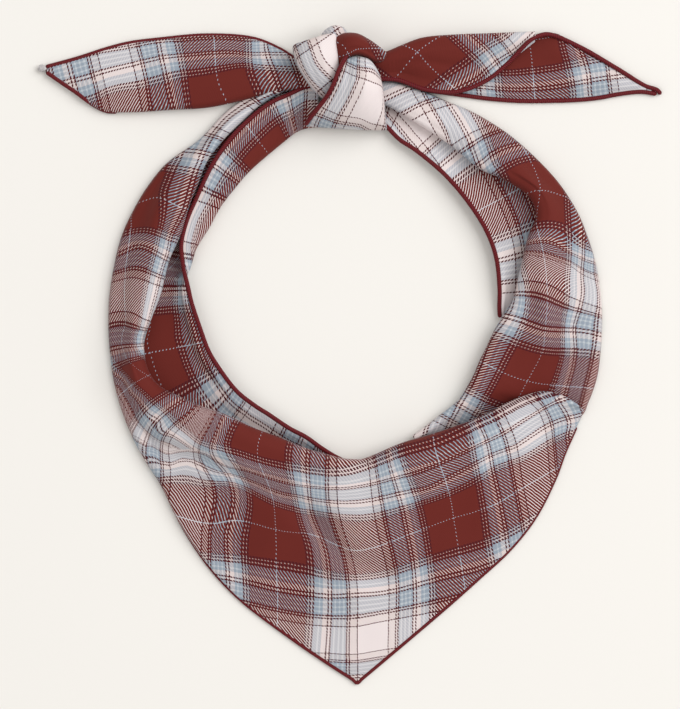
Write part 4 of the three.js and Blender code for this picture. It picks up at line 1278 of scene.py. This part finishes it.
class KERCHIEF_OT_hems(Operator):
    """Adds the rolled hems along the free edges"""
    bl_idname = "kerchief.hems"
    bl_label = "Hems"

    def execute(self, context):
        radius = context.scene.kerchief_sizes.hem_radius * 1000
        tail = tail_left_grid()
        point = front_grid()[:, -1]
        tip = int(point[:, 1].argmin())
        crossing = point[tip] + TIP_CROSSING_MM
        tail_end = run_through(tail[:, TAIL_FOLD_COLUMN], 9, *TAIL_END_SHOWN)
        flap_edge = run_through(flap_grid()[:, -1], 7, *FLAP_SHOWN)
        knot_plan = run_through(on_plan(KNOT_HEM), KNOT_HEM_POINTS)
        knot_top = np.pad(top_of(knot_grids(), knot_plan), KNOT_HEM_SMOOTHED // 2, mode="edge")
        knot_top = np.convolve(knot_top, np.ones(KNOT_HEM_SMOOTHED) / KNOT_HEM_SMOOTHED, "valid")
        paths = {
            "hem_neck_left": run_through(border_left_grid()[:, 0], 420, *NECK_LEFT_SHOWN),
            "hem_neck_right": run_through(border_right_grid()[:, 0], 260, *NECK_RIGHT_SHOWN),
            "hem_point_left": run_through(
                np.concatenate([point[round(len(point) * POINT_LEFT_FROM):tip], crossing]), 190),
            "hem_point_right": run_through(
                np.concatenate([crossing[::-1], point[tip + 1:]]), 260, *POINT_RIGHT_SHOWN),
            "hem_tail_left": run_through(tail[:, -1], 260),
            "hem_tail_left_end": run_through(np.concatenate([HEM_UNDER_TAIL, tail_end]), 120),
            "hem_tail_right_front": run_through(np.concatenate([flap_edge, HEM_TO_TIP]), 420),
            "hem_tail_right_back": run_through(back_grid()[:, -1], 260),
            "hem_knot": np.column_stack([knot_plan, knot_top]),
        }
        for node, path in paths.items():
            size = radius * POINT_HEM_SIZE if node.startswith("hem_point") else radius
            hem_tube(node, path, size, POINT_HEM_THIN_OVER_MM if node == "hem_point_left" else 0.0)
        return {"FINISHED"}


class KERCHIEF_OT_thread_end(Operator):
    """Adds the knotted pale thread at the left tail's tip"""
    bl_idname = "kerchief.thread_end"
    bl_label = "Thread End"

    def execute(self, context):
        shape = bmesh.new()
        bmesh.ops.create_icosphere(shape, subdivisions=4, radius=1.0)
        middle = in_frame(THREAD_PLACE)
        for vert in shape.verts:
            x, y, z = vert.co
            lump = 1 + THREAD_LUMPS * math.sin(5 * x + 3 * z) * math.cos(4 * y - 2 * x)
            vert.co = middle + np.array(THREAD_RADII) * (x, y, z) * lump / 1000
        made = object_of("thread_end_knot", shape)
        place_piece(made, "thread_end", thread_material())
        return {"FINISHED"}


# Stage

# The floor's half width and the lamps' places, sizes and powers, in metres and watts
FLOOR_HALF = 4.0
ROOM_COLOUR = (1.0, 0.99, 0.975, 1)
ROOM_LIGHT = 0.66
LAMPS = table(("name", "place", "size", "power"), [
    ("key", (2.0, 1.0, 2.3), 2.6, 79.0),
    ("fill", (-1.8, -0.8, 2.6), 2.6, 14.0),
])

# The camera looks straight down from so far above the cloth's middle height
CAMERA_DISTANCE = 2.0
CLOTH_MIDDLE_MM = 4.0
SENSOR_WIDTH = 36.0


def turned_towards(way):
    """Turn that points a lamp along a way."""
    flat = math.hypot(way[0], way[1])
    return (math.atan2(flat, -way[2]), 0.0, math.atan2(way[1], way[0]) - math.pi / 2)


class KERCHIEF_OT_stage(Operator):
    """Adds the floor, the lights and the camera"""
    bl_idname = "kerchief.stage"
    bl_label = "Stage"

    def execute(self, context):
        scene = context.scene
        shape = bmesh.new()
        bmesh.ops.create_grid(shape, x_segments=1, y_segments=1, size=FLOOR_HALF)
        floor = object_of("floor_paper", shape)
        floor.data.materials.append(paper_material())
        world = bpy.data.worlds.new("soft_room")
        world.use_nodes = True
        world.node_tree.nodes["Background"].inputs["Color"].default_value = ROOM_COLOUR
        world.node_tree.nodes["Background"].inputs["Strength"].default_value = ROOM_LIGHT
        scene.world = world
        scene.view_settings.view_transform = "Standard"
        for lamp in LAMPS:
            light = bpy.data.lights.new(lamp["name"], "AREA")
            light.energy = lamp["power"]
            light.size = lamp["size"]
            holder = bpy.data.objects.new(lamp["name"], light)
            holder.location = lamp["place"]
            holder.rotation_euler = turned_towards(np.negative(lamp["place"]))
            scene.collection.objects.link(holder)
        photo_middle = on_plan([(PHOTO_SIZE[0] / 2, PHOTO_SIZE[1] / 2)])[0]
        middle = in_frame((*photo_middle, CLOTH_MIDDLE_MM))
        lens = bpy.data.cameras.new("camera")
        lens.type = "PERSP"
        lens.sensor_fit = "HORIZONTAL"
        lens.sensor_width = SENSOR_WIDTH
        lens.lens = SENSOR_WIDTH * CAMERA_DISTANCE / (PHOTO_SIZE[0] * PIXEL_MM / 1000)
        lens.clip_end = 20.0
        camera = bpy.data.objects.new("camera", lens)
        camera.location = (middle[0], middle[1], middle[2] + CAMERA_DISTANCE)
        scene.collection.objects.link(camera)
        scene.camera = camera
        return {"FINISHED"}


class KERCHIEF_PT_panel(Panel):
    """Lists the kerchief's settings and pieces"""
    bl_label = "Kerchief"
    bl_idname = "KERCHIEF_PT_panel"
    bl_space_type = "VIEW_3D"
    bl_region_type = "UI"
    bl_category = "Kerchief"

    def draw(self, context):
        layout = self.layout
        for settings in (context.scene.kerchief_sizes, context.scene.kerchief_colours):
            for key in settings.__annotations__:
                layout.prop(settings, key)
        for operator in PIECES:
            layout.operator(operator.bl_idname)


PIECES = (KERCHIEF_OT_front_fold, KERCHIEF_OT_side_fold, KERCHIEF_OT_neck_borders, KERCHIEF_OT_tails,
          KERCHIEF_OT_knot, KERCHIEF_OT_hems, KERCHIEF_OT_thread_end, KERCHIEF_OT_stage)
CLASSES = (KerchiefSizes, KerchiefColours, *PIECES, KERCHIEF_PT_panel)


def register():
    """Registers the classes and their settings."""
    for cls in CLASSES:
        bpy.utils.register_class(cls)
    bpy.types.Scene.kerchief_sizes = PointerProperty(type=KerchiefSizes)
    bpy.types.Scene.kerchief_colours = PointerProperty(type=KerchiefColours)


def unregister():
    """Takes the settings and classes away again."""
    del bpy.types.Scene.kerchief_colours
    del bpy.types.Scene.kerchief_sizes
    for cls in reversed(CLASSES):
        bpy.utils.unregister_class(cls)


def main():
    """Builds the kerchief piece by piece."""
    register()
    bpy.ops.kerchief.front_fold()
    bpy.ops.kerchief.side_fold()
    bpy.ops.kerchief.neck_borders()
    bpy.ops.kerchief.tails()
    bpy.ops.kerchief.knot()
    bpy.ops.kerchief.hems()
    bpy.ops.kerchief.thread_end()
    bpy.ops.kerchief.stage()


if __name__ == "__main__":
    main()
